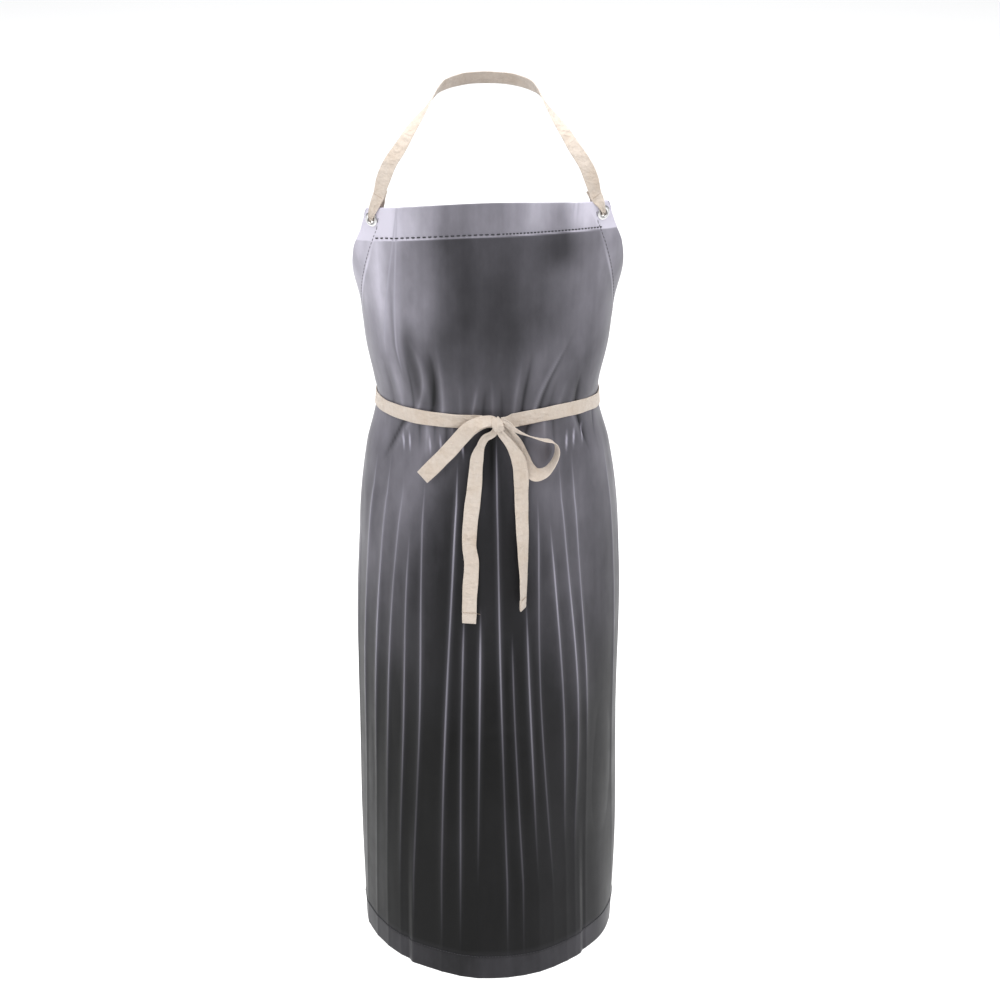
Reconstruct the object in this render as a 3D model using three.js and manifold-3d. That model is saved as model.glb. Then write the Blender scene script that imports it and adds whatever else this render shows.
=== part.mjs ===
// A butcher's bib apron of clear vinyl, hanging as it is worn: one hemmed sheet with grommets in its
// four corners, a cotton tape round the neck, and two cotton ties that cross behind the back and are
// tied in a bow at the front.
//
// Millimetres, +Z up. The wearer faces -Y, and left is -X, as the apron is seen from the front.
// The origin is on the axis of the neck, at the height where the neck strap bears.
import * as THREE from 'three';
import { mergeVertices } from 'three/addons/utils/BufferGeometryUtils.js';
import Module from 'manifold-3d';

const wasm = await Module();
wasm.setup();

// ---- Driving dimensions ----

const CUT_WIDTH = 889; // 35 in
const CUT_LENGTH = 1143; // 45 in
const BIB_TOP_HALF = 165;
const ARMHOLE_DEPTH = 292;
const VINYL = 0.5;
const TOP_HEM = 46;
const TOP_HEM_NARROWING = 7; // towards the right
const BOTTOM_HEM = 37;
const ARMHOLE_HEM = 30;
const SIDE_HEM = 26;
const SEAM_INSET = 3;

const TAPE_WIDTH = 20;
const TAPE_THICKNESS = 1.2;
const TAIL_HEM = 15;
const THREAD_WIDTH = 0.9;
const THREAD_HEIGHT = 0.4;

const TOP_EDGE_Z = -107;
const HEM_FRONT_Z = -1239;
const WAIST_Z = -415;
const CORNER_DROOP = 14;
const SIDE_LIFT = 20;
const BIB_TILT = 0.03;

const HOLE_RADIUS = 5;
const BARREL_WALL = 0.6;
const FLANGE_RADIUS = 10;
const FACETS = 20; // round each grommet

const STRAP_END = new THREE.Vector3(140.5, -86, -104);
const KNOT = { arc: 13, z: WAIST_Z, out: 10, width: 17, depth: 12, height: 22 };

// Clearances between neighbouring pieces.
const GAP = 0.3;
const LAYER_GAP = 0.9;

// The girth that the apron hangs round. At each height: the half-width, the depth in front of the neck's
// axis and behind it, and the power of the superellipse.
const GIRTH = [
  { at: -1260, half: 176, front: 165, back: 158, power: 2.1 },
  { at: -900, half: 179, front: 148, back: 148, power: 2.0 },
  { at: -600, half: 178, front: 129, back: 132, power: 2.0 },
  { at: -490, half: 167, front: 118, back: 117, power: 2.1 },
  { at: WAIST_Z, half: 149.5, front: 112, back: 107, power: 2.2 },
  { at: -330, half: 163, front: 114, back: 106, power: 2.4 },
  { at: -260, half: 171, front: 116, back: 106, power: 2.5 },
  { at: -180, half: 184, front: 117, back: 104, power: 2.5 },
  { at: -90, half: 188, front: 114, back: 100, power: 2.6 },
];

// How much of the sheet's flat width is left once it is gathered, by the distance down from its top edge.
const GATHER = [
  { at: 0, share: 1 },
  { at: 200, share: 0.97 },
  { at: 305, share: 0.8 },
  { at: 480, share: 0.86 },
  { at: 800, share: 0.93 },
  { at: CUT_LENGTH, share: 0.97 },
];

const MATERIALS = {
  vinyl: { color: 0x4d4b54, roughness: 0.35, metalness: 0 },
  hem: { color: 0x77767f, roughness: 0.4, metalness: 0 },
  tape: { color: 0xe4d9cf, roughness: 0.9, metalness: 0 },
  thread: { color: 0x2a2a30, roughness: 0.8, metalness: 0 },
  tapeThread: { color: 0xcdbfae, roughness: 0.9, metalness: 0 },
  nickel: { color: 0xc9cbd0, roughness: 0.25, metalness: 1 },
};

// ---- The girth, and the sheet draped on it ----

// A smooth curve through stations sorted by `at`, for one of their values.
function follow(stations, key, at) {
  const last = stations.length - 1;
  const clamped = THREE.MathUtils.clamp(at, stations[0].at, stations[last].at);
  let index = 0;
  while (index < last - 1 && clamped > stations[index + 1].at) {
    index += 1;
  }
  const slope = (i) => {
    const before = stations[Math.max(i - 1, 0)];
    const after = stations[Math.min(i + 1, last)];
    return (after[key] - before[key]) / (after.at - before.at);
  };
  const [low, high] = [stations[index], stations[index + 1]];
  const span = high.at - low.at;
  const t = (clamped - low.at) / span;
  return (
    (2 * t ** 3 - 3 * t ** 2 + 1) * low[key] +
    (t ** 3 - 2 * t ** 2 + t) * span * slope(index) +
    (3 * t ** 2 - 2 * t ** 3) * high[key] +
    (t ** 3 - t ** 2) * span * slope(index + 1)
  );
}

// One half of the girth at a height, from the middle of the front to the middle of the back, as points
// with the distance walked so far.
const sections = new Map();
function section(z) {
  const key = z.toFixed(2);
  if (sections.has(key)) {
    return sections.get(key);
  }
  const [half, front, back, power] = ['half', 'front', 'back', 'power'].map((name) => follow(GIRTH, name, z));
  const steps = 240;
  const points = [];
  for (let i = 0; i <= steps; i += 1) {
    const angle = (Math.PI * i) / steps;
    const cosine = Math.cos(angle);
    const depth = cosine > 0 ? front : back;
    const x = half * Math.max(Math.sin(angle), 0) ** (2 / power);
    const y = -Math.sign(cosine) * depth * Math.abs(cosine) ** (2 / power);
    const previous = points[i - 1];
    const walked = previous ? previous.walked + Math.hypot(x - previous.x, y - previous.y) : 0;
    points.push({ x, y, walked });
  }
  const found = { half, front, back, power, points, length: points[steps].walked };
  sections.set(key, found);
  return found;
}

// The point at a height and a distance round from the middle of the front (left is negative), with the
// direction that faces out there. A distance past the middle of the back goes on along the other side.
function onGirth(z, arc) {
  const ring = section(z);
  const wrapped = arc - 2 * ring.length * Math.round(arc / (2 * ring.length));
  const distance = Math.abs(wrapped);
  const side = wrapped < 0 ? -1 : 1;
  let index = 1;
  while (index < ring.points.length - 1 && ring.points[index].walked < distance) {
    index += 1;
  }
  const [low, high] = [ring.points[index - 1], ring.points[index]];
  const t = (distance - low.walked) / (high.walked - low.walked);
  const x = THREE.MathUtils.lerp(low.x, high.x, t);
  const y = THREE.MathUtils.lerp(low.y, high.y, t);
  const depth = y < 0 ? ring.front : ring.back;
  const facing = new THREE.Vector3(
    (side * (x / ring.half) ** (ring.power - 1)) / ring.half,
    (Math.sign(y) * (Math.abs(y) / depth) ** (ring.power - 1)) / depth,
    0,
  ).normalize();
  return { point: new THREE.Vector3(side * x, y, z), facing };
}

function around(z, arc, out) {
  const { point, facing } = onGirth(z, arc);
  return point.addScaledVector(facing, out);
}

// Half of the armhole's outline on the flat sheet: x is the distance across from the middle, y the
// distance down from the top edge.
const ARMHOLE = new THREE.CubicBezierCurve(
  new THREE.Vector2(BIB_TOP_HALF, 0),
  new THREE.Vector2(BIB_TOP_HALF + 40, 60),
  new THREE.Vector2(BIB_TOP_HALF + 49, 240),
  new THREE.Vector2(CUT_WIDTH / 2, ARMHOLE_DEPTH),
);

function halfWidth(down) {
  if (down >= ARMHOLE_DEPTH) {
    return CUT_WIDTH / 2;
  }
  let [low, high] = [0, 1];
  for (let i = 0; i < 40; i += 1) {
    const middle = (low + high) / 2;
    if (ARMHOLE.getPoint(middle).y < down) {
      low = middle;
    } else {
      high = middle;
    }
  }
  return ARMHOLE.getPoint(low).x;
}

// Where a point of the flat sheet hangs, pushed out from the girth.
function drape(across, down, out) {
  const bib = 1 - THREE.MathUtils.smoothstep(down, 0, ARMHOLE_DEPTH);
  const turned = THREE.MathUtils.smoothstep(Math.abs(across), 0, 270);
  const z =
    THREE.MathUtils.mapLinear(down, 0, CUT_LENGTH, TOP_EDGE_Z, HEM_FRONT_Z) -
    CORNER_DROOP * bib * (across / BIB_TOP_HALF) ** 2 +
    SIDE_LIFT * turned * (down / CUT_LENGTH) ** 2 +
    BIB_TILT * bib * across;
  return around(z, across * follow(GATHER, 'share', down), out);
}

// ---- Closed bodies ----

// The closed body between two matching grids of points, with its faces pointing out.
function shell(outer, inner) {
  const rows = outer.length - 1;
  const columns = outer[0].length - 1;
  const corner = (grid, row, column) => (grid * (rows + 1) + row) * (columns + 1) + column;
  const triangles = [];
  const quad = (a, b, c, d) => triangles.push(a, b, c, a, c, d);
  for (let row = 0; row < rows; row += 1) {
    for (let column = 0; column < columns; column += 1) {
      const [a, b, c, d] = [[row, column], [row + 1, column], [row + 1, column + 1], [row, column + 1]];
      quad(corner(0, ...a), corner(0, ...b), corner(0, ...c), corner(0, ...d));
      quad(corner(1, ...a), corner(1, ...d), corner(1, ...c), corner(1, ...b));
    }
  }
  for (let column = 0; column < columns; column += 1) {
    quad(corner(0, 0, column), corner(0, 0, column + 1), corner(1, 0, column + 1), corner(1, 0, column));
    quad(
      corner(0, rows, column + 1),
      corner(0, rows, column),
      corner(1, rows, column),
      corner(1, rows, column + 1),
    );
  }
  for (let row = 0; row < rows; row += 1) {
    quad(corner(0, row, 0), corner(1, row, 0), corner(1, row + 1, 0), corner(0, row + 1, 0));
    quad(
      corner(1, row, columns),
      corner(0, row, columns),
      corner(0, row + 1, columns),
      corner(1, row + 1, columns),
    );
  }
  const points = [...outer.flat(), ...inner.flat()];
  let volume = 0;
  for (let i = 0; i < triangles.length; i += 3) {
    const [a, b, c] = [points[triangles[i]], points[triangles[i + 1]], points[triangles[i + 2]]];
    volume += a.dot(b.clone().cross(c));
  }
  const geometry = new THREE.BufferGeometry().setFromPoints(points);
  geometry.setIndex(volume < 0 ? triangles.reverse() : triangles);
  geometry.computeVertexNormals();
  return geometry;
}

// A patch of the sheet, or of what lies on it. Its lines are rows of [across, down] points.
function patch(lines, out, thickness) {
  const grid = (offset) => lines.map((line) => line.map(([across, down]) => drape(across, down, offset)));
  return shell(grid(out), grid(out - thickness));
}

// The way the girth's surface faces, with its slope.
function surfaceFacing(z, arc) {
  const reach = 5;
  const right = around(z, arc + reach, 0).sub(around(z, arc - reach, 0));
  const up = around(z + reach, arc, 0).sub(around(z - reach, arc, 0));
  return right.cross(up).normalize();
}

// A strip of tape through points that each have a position, the way they face, a width and a turn: the
// angle by which the tape stands up off the surface that it lies on.
function tape(points, steps, thickness = TAPE_THICKNESS) {
  const path = new THREE.CatmullRomCurve3(points.map((point) => point.position));
  const facings = new THREE.CatmullRomCurve3(points.map((point) => point.facing));
  const between = (key, t) => {
    const place = t * (points.length - 1);
    const index = Math.min(Math.floor(place), points.length - 2);
    return THREE.MathUtils.lerp(points[index][key], points[index + 1][key], place - index);
  };
  const [outer, inner] = [[], []];
  for (let i = 0; i <= steps; i += 1) {
    const t = i / steps;
    const middle = path.getPoint(t);
    const along = path.getTangent(t);
    const flat = facings.getPoint(t).cross(along).normalize();
    const across = flat.applyAxisAngle(along, THREE.MathUtils.degToRad(between('turn', t)));
    const facing = along.clone().cross(across).normalize();
    const edge = (side, height) =>
      middle
        .clone()
        .addScaledVector(across, (side * between('width', t)) / 2)
        .addScaledVector(facing, (height * thickness) / 2);
    outer.push([-1, 0, 1].map((side) => edge(side, 1)));
    inner.push([-1, 0, 1].map((side) => edge(side, -1)));
  }
  return shell(outer, inner);
}

// A point of a tape that lies on the girth.
function lying([arc, z, out, width = TAPE_WIDTH, turn = 0]) {
  return { position: around(z, arc, out), facing: surfaceFacing(z, arc), width, turn };
}

function solid(geometry, matrix = new THREE.Matrix4()) {
  const bare = geometry.clone().applyMatrix4(matrix);
  bare.deleteAttribute('normal');
  bare.deleteAttribute('uv');
  const merged = mergeVertices(bare, 1e-4);
  return new wasm.Manifold(
    new wasm.Mesh({
      numProp: 3,
      vertProperties: new Float32Array(merged.attributes.position.array),
      triVerts: new Uint32Array(merged.index.array),
    }),
  );
}

function cut(geometry, cutters) {
  let body = solid(geometry);
  for (const cutter of cutters) {
    body = body.subtract(cutter);
  }
  const mesh = body.getMesh();
  const result = new THREE.BufferGeometry();
  result.setAttribute('position', new THREE.BufferAttribute(mesh.vertProperties, 3));
  result.setIndex(new THREE.BufferAttribute(mesh.triVerts, 1));
  result.computeVertexNormals();
  return result;
}

// ---- The object ----

const apron = new THREE.Group();
const [LEFT, RIGHT] = [-1, 1];
const SIDES = [
  ['left', LEFT],
  ['right', RIGHT],
];

function add(name, geometry, look) {
  const mesh = new THREE.Mesh(geometry, new THREE.MeshStandardMaterial(MATERIALS[look]));
  mesh.name = name;
  apron.add(mesh);
  return mesh;
}

// Evenly spaced numbers from one end to the other.
function spread(from, to, steps) {
  return Array.from({ length: steps + 1 }, (_, i) => THREE.MathUtils.lerp(from, to, i / steps));
}

// ---- Grommets ----

// A frame on the sheet at a grommet: its centre, the way it faces, and a direction along the sheet.
function grommetFrame(across, down) {
  const centre = drape(across, down, 0);
  const reach = 6;
  const right = drape(across + reach, down, 0).sub(drape(across - reach, down, 0));
  const below = drape(across, down + reach, 0).sub(drape(across, down - reach, 0));
  const facing = below.cross(right).normalize();
  right.normalize();
  const up = facing.clone().cross(right);
  const matrix = new THREE.Matrix4().makeBasis(right, up, facing).setPosition(centre);
  return { centre, facing, matrix };
}

const BIB_GROMMET = [158.5, 16];
const WAIST_GROMMET = [CUT_WIDTH / 2 - 16, ARMHOLE_DEPTH + 11];
const grommets = SIDES.flatMap(([side, sign]) => [
  { place: 'bib', side, sign, frame: grommetFrame(sign * BIB_GROMMET[0], BIB_GROMMET[1]) },
  { place: 'waist', side, sign, frame: grommetFrame(sign * WAIST_GROMMET[0], WAIST_GROMMET[1]) },
]);

// How far the sheet and two hems behind it reach back from the sheet's outer face.
const STACK = 3 * VINYL + 2 * LAYER_GAP;

// The grommet: a domed flange in front, a barrel through the sheet and a lip curled over the washer.
function grommetGeometry() {
  const barrel = HOLE_RADIUS + BARREL_WALL;
  const front = 0.8;
  const dome = 1.2;
  const back = -STACK - 2.4;
  const lip = 1.1;
  return new THREE.LatheGeometry(
    [
      [HOLE_RADIUS, back - lip],
      [barrel + 1.6, back - lip],
      [barrel + 2.2, back - GAP],
      [barrel, back - GAP],
      [barrel, front],
      [FLANGE_RADIUS, front],
      [FLANGE_RADIUS - 1.8, front + dome],
      [HOLE_RADIUS + 1.2, front + dome],
      [HOLE_RADIUS, front + 0.4],
      [HOLE_RADIUS, back - lip],
    ].map(([radius, height]) => new THREE.Vector2(radius, height)),
    FACETS,
  ).rotateX(Math.PI / 2);
}

function washerGeometry() {
  const inner = HOLE_RADIUS + BARREL_WALL + GAP;
  const front = -STACK - 1.4;
  const thickness = 0.8;
  return new THREE.LatheGeometry(
    [
      [inner, front - thickness],
      [FLANGE_RADIUS - 0.8, front - thickness],
      [FLANGE_RADIUS, front],
      [inner, front],
      [inner, front - thickness],
    ].map(([radius, height]) => new THREE.Vector2(radius, height)),
    FACETS,
  ).rotateX(Math.PI / 2);
}

for (const { place, side, frame } of grommets) {
  add(`${place}_grommet_${side}`, grommetGeometry(), 'nickel').applyMatrix4(frame.matrix);
  add(`${place}_washer_${side}`, washerGeometry(), 'nickel').applyMatrix4(frame.matrix);
}

const punches = grommets.map(({ frame }) => {
  const radius = HOLE_RADIUS + BARREL_WALL + GAP;
  const punch = new THREE.CylinderGeometry(radius, radius, 20, FACETS);
  return solid(punch.rotateX(Math.PI / 2), frame.matrix);
});

// ---- The sheet, its hems and its seams ----

const COLUMNS = spread(-1, 1, 30);
const ARMHOLE_STEPS = spread(0, 1, 14);
const SKIRT_ROWS = [...spread(ARMHOLE_DEPTH, 480, 8).slice(1), ...spread(480, CUT_LENGTH, 7).slice(1)];
const PANEL_ROWS = [...ARMHOLE_STEPS.map((t) => ARMHOLE.getPointAt(t).y), ...SKIRT_ROWS];

function rowAcross(down, margin = 0) {
  return COLUMNS.map((share) => [share * (halfWidth(down) - margin), down]);
}

add('apron_panel', cut(patch(PANEL_ROWS.map((down) => rowAcross(down)), 0, VINYL), punches), 'vinyl');

const behind = (layer) => -layer * (VINYL + LAYER_GAP);

// The top hem is as deep as TOP_HEM on the left and in the middle, and a little less on the right.
function topHemDepth(across) {
  return TOP_HEM - TOP_HEM_NARROWING * THREE.MathUtils.smoothstep(across, 0, BIB_TOP_HALF);
}
const topHem = spread(0, 1, 3).map((share) =>
  rowAcross(share * TOP_HEM).map(([across, down]) => [across, (down * topHemDepth(across)) / TOP_HEM]),
);
add('top_hem', cut(patch(topHem, behind(1), VINYL), punches), 'hem');

const bottomHem = spread(CUT_LENGTH - BOTTOM_HEM, CUT_LENGTH, 2).map((down) => rowAcross(down));
add('bottom_hem', patch(bottomHem, behind(1), VINYL), 'hem');

// A point inside the armhole's edge, at a distance from it. The hem's upper end is cut along the top edge.
function insideArmhole(t, distance, sign) {
  const edge = ARMHOLE.getPointAt(t);
  const along = ARMHOLE.getTangentAt(t);
  if (t === 0) {
    return [sign * (edge.x - distance / along.y), 0];
  }
  return [sign * (edge.x - along.y * distance), edge.y + along.x * distance];
}

const THREAD_EDGES = [-THREAD_WIDTH / 2, THREAD_WIDTH / 2];
const SIDE_ROWS = [ARMHOLE_DEPTH + ARMHOLE_HEM + 2, ...SKIRT_ROWS.filter((down) => down > 330)];
SIDE_ROWS[SIDE_ROWS.length - 1] = CUT_LENGTH - BOTTOM_HEM - 2;

for (const [side, sign] of SIDES) {
  const armholeHem = ARMHOLE_STEPS.map((t) =>
    spread(0, ARMHOLE_HEM, 2).map((inset) => insideArmhole(t, inset, sign)),
  );
  add(`armhole_hem_${side}`, cut(patch(armholeHem, behind(2), VINYL), punches), 'hem');

  const edge = sign * (CUT_WIDTH / 2);
  const sideHem = SIDE_ROWS.map((down) => spread(0, SIDE_HEM, 2).map((inset) => [edge - sign * inset, down]));
  add(`side_hem_${side}`, patch(sideHem, behind(1), VINYL), 'hem');

  const armholeSeam = ARMHOLE_STEPS.map((t) =>
    THREAD_EDGES.map((edge) => insideArmhole(t, ARMHOLE_HEM - SEAM_INSET + edge, sign)),
  );
  add(`armhole_stitching_${side}`, patch(armholeSeam, 1 + THREAD_HEIGHT, THREAD_HEIGHT), 'thread');

  const seam = edge - sign * (SIDE_HEM - SEAM_INSET);
  const sideSeam = SIDE_ROWS.map((down) => THREAD_EDGES.map((line) => [seam - sign * line, down]));
  add(`side_stitching_${side}`, patch(sideSeam, 0.8 + THREAD_HEIGHT, THREAD_HEIGHT), 'thread');
}

// A seam across the sheet, at a depth that may change along it, stopping short of the sheet's edges.
function seamAcross(name, depthAt, margin) {
  const lines = THREAD_EDGES.map((line) =>
    rowAcross(depthAt(0), margin).map(([across]) => [across, depthAt(across) + line]),
  );
  add(name, patch(lines, 0.5 + THREAD_HEIGHT, THREAD_HEIGHT), 'thread');
}
seamAcross('top_hem_stitching', (across) => topHemDepth(across) - SEAM_INSET, ARMHOLE_HEM + 6);
seamAcross('bottom_hem_stitching', () => CUT_LENGTH - BOTTOM_HEM + SEAM_INSET, 4);

// ---- The tapes' end loops ----

// The end of a tape, narrowed to pass through a grommet and folded back to the point where it is sewn.
// It runs down in front of the sheet, through the hole, and up again behind the sheet.
function endLoop(frame, end) {
  const way = end.clone().sub(frame.centre);
  const length = way.length();
  way.normalize();
  const out = frame.facing.clone().addScaledVector(way, -frame.facing.dot(way)).normalize();
  const rear = STACK + 5.4;
  const stops = [
    [length - 1, 1.3, 18],
    [length * 0.75, 2.8, 16],
    [13, 4.4, 12],
    [6, 4.2, 9],
    [1.6, 3.1, 7],
    [0.2, 1, 6.4],
    [0.2, 1 - rear / 2, 6.4],
    [0.4, 1.6 - rear, 7],
    [4, 0.6 - rear, 9],
    [11, 0.4 - rear, 12],
    [length * 0.72, -rear * 0.55, 16],
    [length - 1, -1.3, 18],
  ];
  const points = stops.map(([along, height, width]) => ({
    position: frame.centre.clone().addScaledVector(way, along).addScaledVector(out, height),
    along,
    width,
    turn: 0,
  }));
  const side = way.clone().cross(out);
  const path = new THREE.CatmullRomCurve3(points.map((point) => point.position));
  points.forEach((point, i) => {
    point.facing = path.getTangent(i / (points.length - 1)).cross(side);
  });
  return { geometry: tape(points, 26, 1), way, out };
}

// The row of stitches that closes an end loop, a little short of its end.
function bartack(end, way, out) {
  const tack = new THREE.BoxGeometry(14, 1.6, 0.5);
  const centre = end.clone().addScaledVector(way, -4).addScaledVector(out, 3.6);
  const matrix = new THREE.Matrix4().makeBasis(way.clone().cross(out), way, out).setPosition(centre);
  return { tack, matrix };
}

function addEndLoop(name, side, grommet, end) {
  const { geometry, way, out } = endLoop(grommet.frame, end);
  add(`${name}_loop_${side}`, geometry, 'tape');
  const { tack, matrix } = bartack(end, way, out);
  add(`${name}_bartack_${side}`, tack, 'tapeThread').applyMatrix4(matrix);
}

// The waist ties start level with their grommets, just past the edge of the sheet.
const TIE_START_REACH = 30;
const RISE_LENGTH = 160;
const tieStart = (sign) => {
  const { centre } = grommets.find((grommet) => grommet.place === 'waist' && grommet.sign === sign).frame;
  const gathered = WAIST_GROMMET[0] * follow(GATHER, 'share', WAIST_GROMMET[1]);
  return { arc: sign * (gathered + TIE_START_REACH), z: centre.z };
};

for (const grommet of grommets) {
  const { place, side, sign } = grommet;
  if (place === 'bib') {
    addEndLoop('strap', side, grommet, STRAP_END.clone().multiply(new THREE.Vector3(sign, 1, 1)));
  } else {
    const { arc, z } = tieStart(sign);
    addEndLoop('tie', side, grommet, around(z, arc, sign === LEFT ? 2.4 : 5.4));
  }
}

// ---- The neck strap ----

// Half of its middle line, from the end loop up over the collar and round the side of the neck, with the
// way that the tape faces.
const STRAP_ROUTE = [
  [STRAP_END.toArray(), [0.5, -0.86, 0]],
  [[136.5, -87.5, -86], [0.48, -0.86, 0.15]],
  [[127, -86.5, -63], [0.45, -0.84, 0.3]],
  [[113, -81, -42], [0.5, -0.76, 0.42]],
  [[99, -68, -22], [0.62, -0.6, 0.5]],
  [[86, -47, -7], [0.76, -0.4, 0.5]],
  [[76, -22, 1], [0.86, -0.15, 0.48]],
  [[69, 8, 4], [0.88, 0.16, 0.44]],
  [[58, 40, 5], [0.74, 0.54, 0.4]],
  [[34, 67, 5], [0.42, 0.82, 0.38]],
  [[0, 77, 5], [0, 0.93, 0.36]],
];

function neckStrap() {
  const half = STRAP_ROUTE.map(([position, facing]) => ({
    position: new THREE.Vector3(...position),
    facing: new THREE.Vector3(...facing),
    width: TAPE_WIDTH,
    turn: 0,
  }));
  half[0].position.z += 1;
  half[0].width = 18;
  const mirrored = half.slice(0, -1).map((point) => ({
    ...point,
    position: point.position.clone().setX(-point.position.x),
    facing: point.facing.clone().setX(-point.facing.x),
  }));
  return tape([...mirrored, ...half.reverse()], 44);
}
add('neck_strap', neckStrap(), 'tape');

// ---- The waist ties ----

// A tie runs from its start across the back, crosses the other tie there, comes round the far side of the
// waist and ends at the knot. `lift` holds it off the other tie, and `rise` bows it up before the knot.
function waistTie(sign, lift, rise) {
  const start = tieStart(sign);
  const girth = section(start.z).length;
  const end = sign === LEFT ? KNOT.arc + KNOT.width / 2 + 1 : -(KNOT.arc - KNOT.width / 2 - 1);
  const length = 2 * girth - Math.abs(start.arc) - end;
  const dip = 13;
  const crossing = girth - Math.abs(start.arc);
  const points = spread(1.8, length, 48).map((walked) => {
    const away = (walked - crossing) / crossing;
    const sideways = THREE.MathUtils.clamp(away, -1, 1);
    const settled = THREE.MathUtils.smoothstep(walked, 2.4 * crossing, length * 0.7);
    const bow = Math.sin(Math.PI * THREE.MathUtils.clamp((length - walked) / RISE_LENGTH, 0, 1));
    const z = THREE.MathUtils.lerp(start.z - dip - dip * sideways, WAIST_Z, settled) + rise * bow;
    const raised = lift * (1 - THREE.MathUtils.smoothstep(walked, crossing * 3, length * 0.6));
    return lying([start.arc + sign * walked, z, 2.4 + raised]);
  });
  return tape(points, 48);
}
add('waist_tie_left', waistTie(LEFT, 0, 8), 'tape');
add('waist_tie_right', waistTie(RIGHT, 3, 1), 'tape');

// ---- The bow ----

function bowKnot() {
  const outline = new THREE.Shape();
  const [halfWide, halfHigh, corner] = [KNOT.width / 2 - 1.5, KNOT.height / 2 - 1.5, 5];
  outline.moveTo(-halfWide + corner, -halfHigh);
  outline.lineTo(halfWide - corner, -halfHigh);
  outline.quadraticCurveTo(halfWide, -halfHigh, halfWide, -halfHigh + corner);
  outline.lineTo(halfWide, halfHigh - corner);
  outline.quadraticCurveTo(halfWide, halfHigh, halfWide - corner, halfHigh);
  outline.lineTo(-halfWide + corner, halfHigh);
  outline.quadraticCurveTo(-halfWide, halfHigh, -halfWide, halfHigh - corner);
  outline.lineTo(-halfWide, -halfHigh + corner);
  outline.quadraticCurveTo(-halfWide, -halfHigh, -halfWide + corner, -halfHigh);
  return new THREE.ExtrudeGeometry(outline, {
    depth: KNOT.depth - 5,
    bevelThickness: 2.5,
    bevelSize: 1.5,
    bevelSegments: 2,
    curveSegments: 4,
    steps: 1,
  })
    .translate(0, 0, -(KNOT.depth - 5) / 2)
    .rotateX(Math.PI / 2);
}
const knot = add('bow_knot', bowKnot(), 'tape');
knot.position.copy(around(KNOT.z, KNOT.arc, KNOT.out));

// The bow's loops and tails. Each point is [distance round, height, distance out, width, turn].
const LOOP_LEFT = [
  [3, -410, 11, 13, 0],
  [-9, -410, 16, 18, 0],
  [-27, -424, 15, 21, 0],
  [-48, -451, 12, 21, 0],
  [-68, -475, 10, 21, 0],
  [-83, -491, 9, 21, 0],
  [-86, -495, 7, 21, 0],
  [-83, -491, 5, 21, 0],
  [-67, -474, 4.6, 21, 0],
  [-47, -451, 4.8, 20, 0],
  [-26, -428, 5.2, 18, 0],
  [-10, -417, 6, 15, 0],
  [3, -413, 7.5, 13, 0],
];
const LOOP_RIGHT = [
  [24, -412, 13, 10, 30],
  [34, -421, 15, 13, 55],
  [50, -430, 16, 18, 74],
  [68, -437, 17, 20, 80],
  [83, -442, 17, 20, 78],
  [89, -452, 16, 20, 70],
  [88, -465, 15, 20, 66],
  [81, -478, 14, 20, 58],
  [73, -486, 12, 20, 42],
  [63, -489, 6.5, 20, 16],
  [54, -480, 4.6, 18, 2],
  [47, -463, 4.4, 16, 0],
  [38, -443, 4.4, 14, 0],
  [29, -429, 4.8, 10, 0],
];
const TAIL_LEFT = [
  [7, -429, 8, 9, 0],
  [-3, -434, 9, 9, 0],
  [-9, -446, 8, 9, 0],
  [-14, -465, 6, 18, 0],
  [-17.5, -506, 4, TAPE_WIDTH, 0],
  [-23, -555, 3.2, TAPE_WIDTH, 0],
  [-24.5, -588, 3.2, TAPE_WIDTH, 0],
  [-21.5, -615, 3.2, TAPE_WIDTH, 0],
  [-24, -660, 3.2, TAPE_WIDTH, 0],
  [-25, -702, 3.2, TAPE_WIDTH, 0],
];
const TAIL_RIGHT = [
  [18, -429, 12, 9, 0],
  [25, -437, 12.5, 11, 0],
  [32, -448, 12.5, 13, 0],
  [40, -466, 11.5, 19, 0],
  [43.5, -490, 9.5, TAPE_WIDTH, 0],
  [44.5, -520, 4.8, TAPE_WIDTH, 0],
  [46, -580, 3.6, TAPE_WIDTH, 0],
  [47, -640, 4.6, TAPE_WIDTH, 14],
  [47.5, -685, 5.6, TAPE_WIDTH, 24],
];

add('bow_loop_left', tape(LOOP_LEFT.map(lying), 30), 'tape');
add('bow_loop_right', tape(LOOP_RIGHT.map(lying), 32), 'tape');
add('tie_tail_left', tape(TAIL_LEFT.map(lying), 20), 'tape');
add('tie_tail_right', tape(TAIL_RIGHT.map(lying), 20), 'tape');

// The stitches across a tail's folded end. They lie on the face of the tape, between its last two points.
function tailSeam(points, above) {
  const [before, last] = points.slice(-2).map(lying);
  const way = before.position.clone().sub(last.position).normalize();
  const turn = THREE.MathUtils.degToRad(last.turn);
  const across = way.clone().cross(last.facing).applyAxisAngle(way, -turn).normalize();
  const out = across.clone().cross(way);
  const height = TAPE_THICKNESS / 2 + 0.8;
  const centre = last.position.clone().addScaledVector(way, above).addScaledVector(out, height);
  return {
    seam: new THREE.BoxGeometry(TAPE_WIDTH - 3, THREAD_WIDTH, THREAD_HEIGHT),
    matrix: new THREE.Matrix4().makeBasis(across, way, out).setPosition(centre),
  };
}
for (const [side, points] of [['left', TAIL_LEFT], ['right', TAIL_RIGHT]]) {
  const { seam, matrix } = tailSeam(points, TAIL_HEM);
  add(`tail_hem_stitching_${side}`, seam, 'tapeThread').applyMatrix4(matrix);
}

export default apron;
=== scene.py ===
"""A clear vinyl butcher's apron with cotton tapes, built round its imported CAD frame.

Metres, +Z up. The wearer faces -Y, and left is -X, as the apron is seen from the front. `across` and
`down` are places on the flat sheet: the distance from its middle line and from its top edge. `arc` is
the distance round the wearer's girth from the middle of the front.
"""
import math

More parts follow.
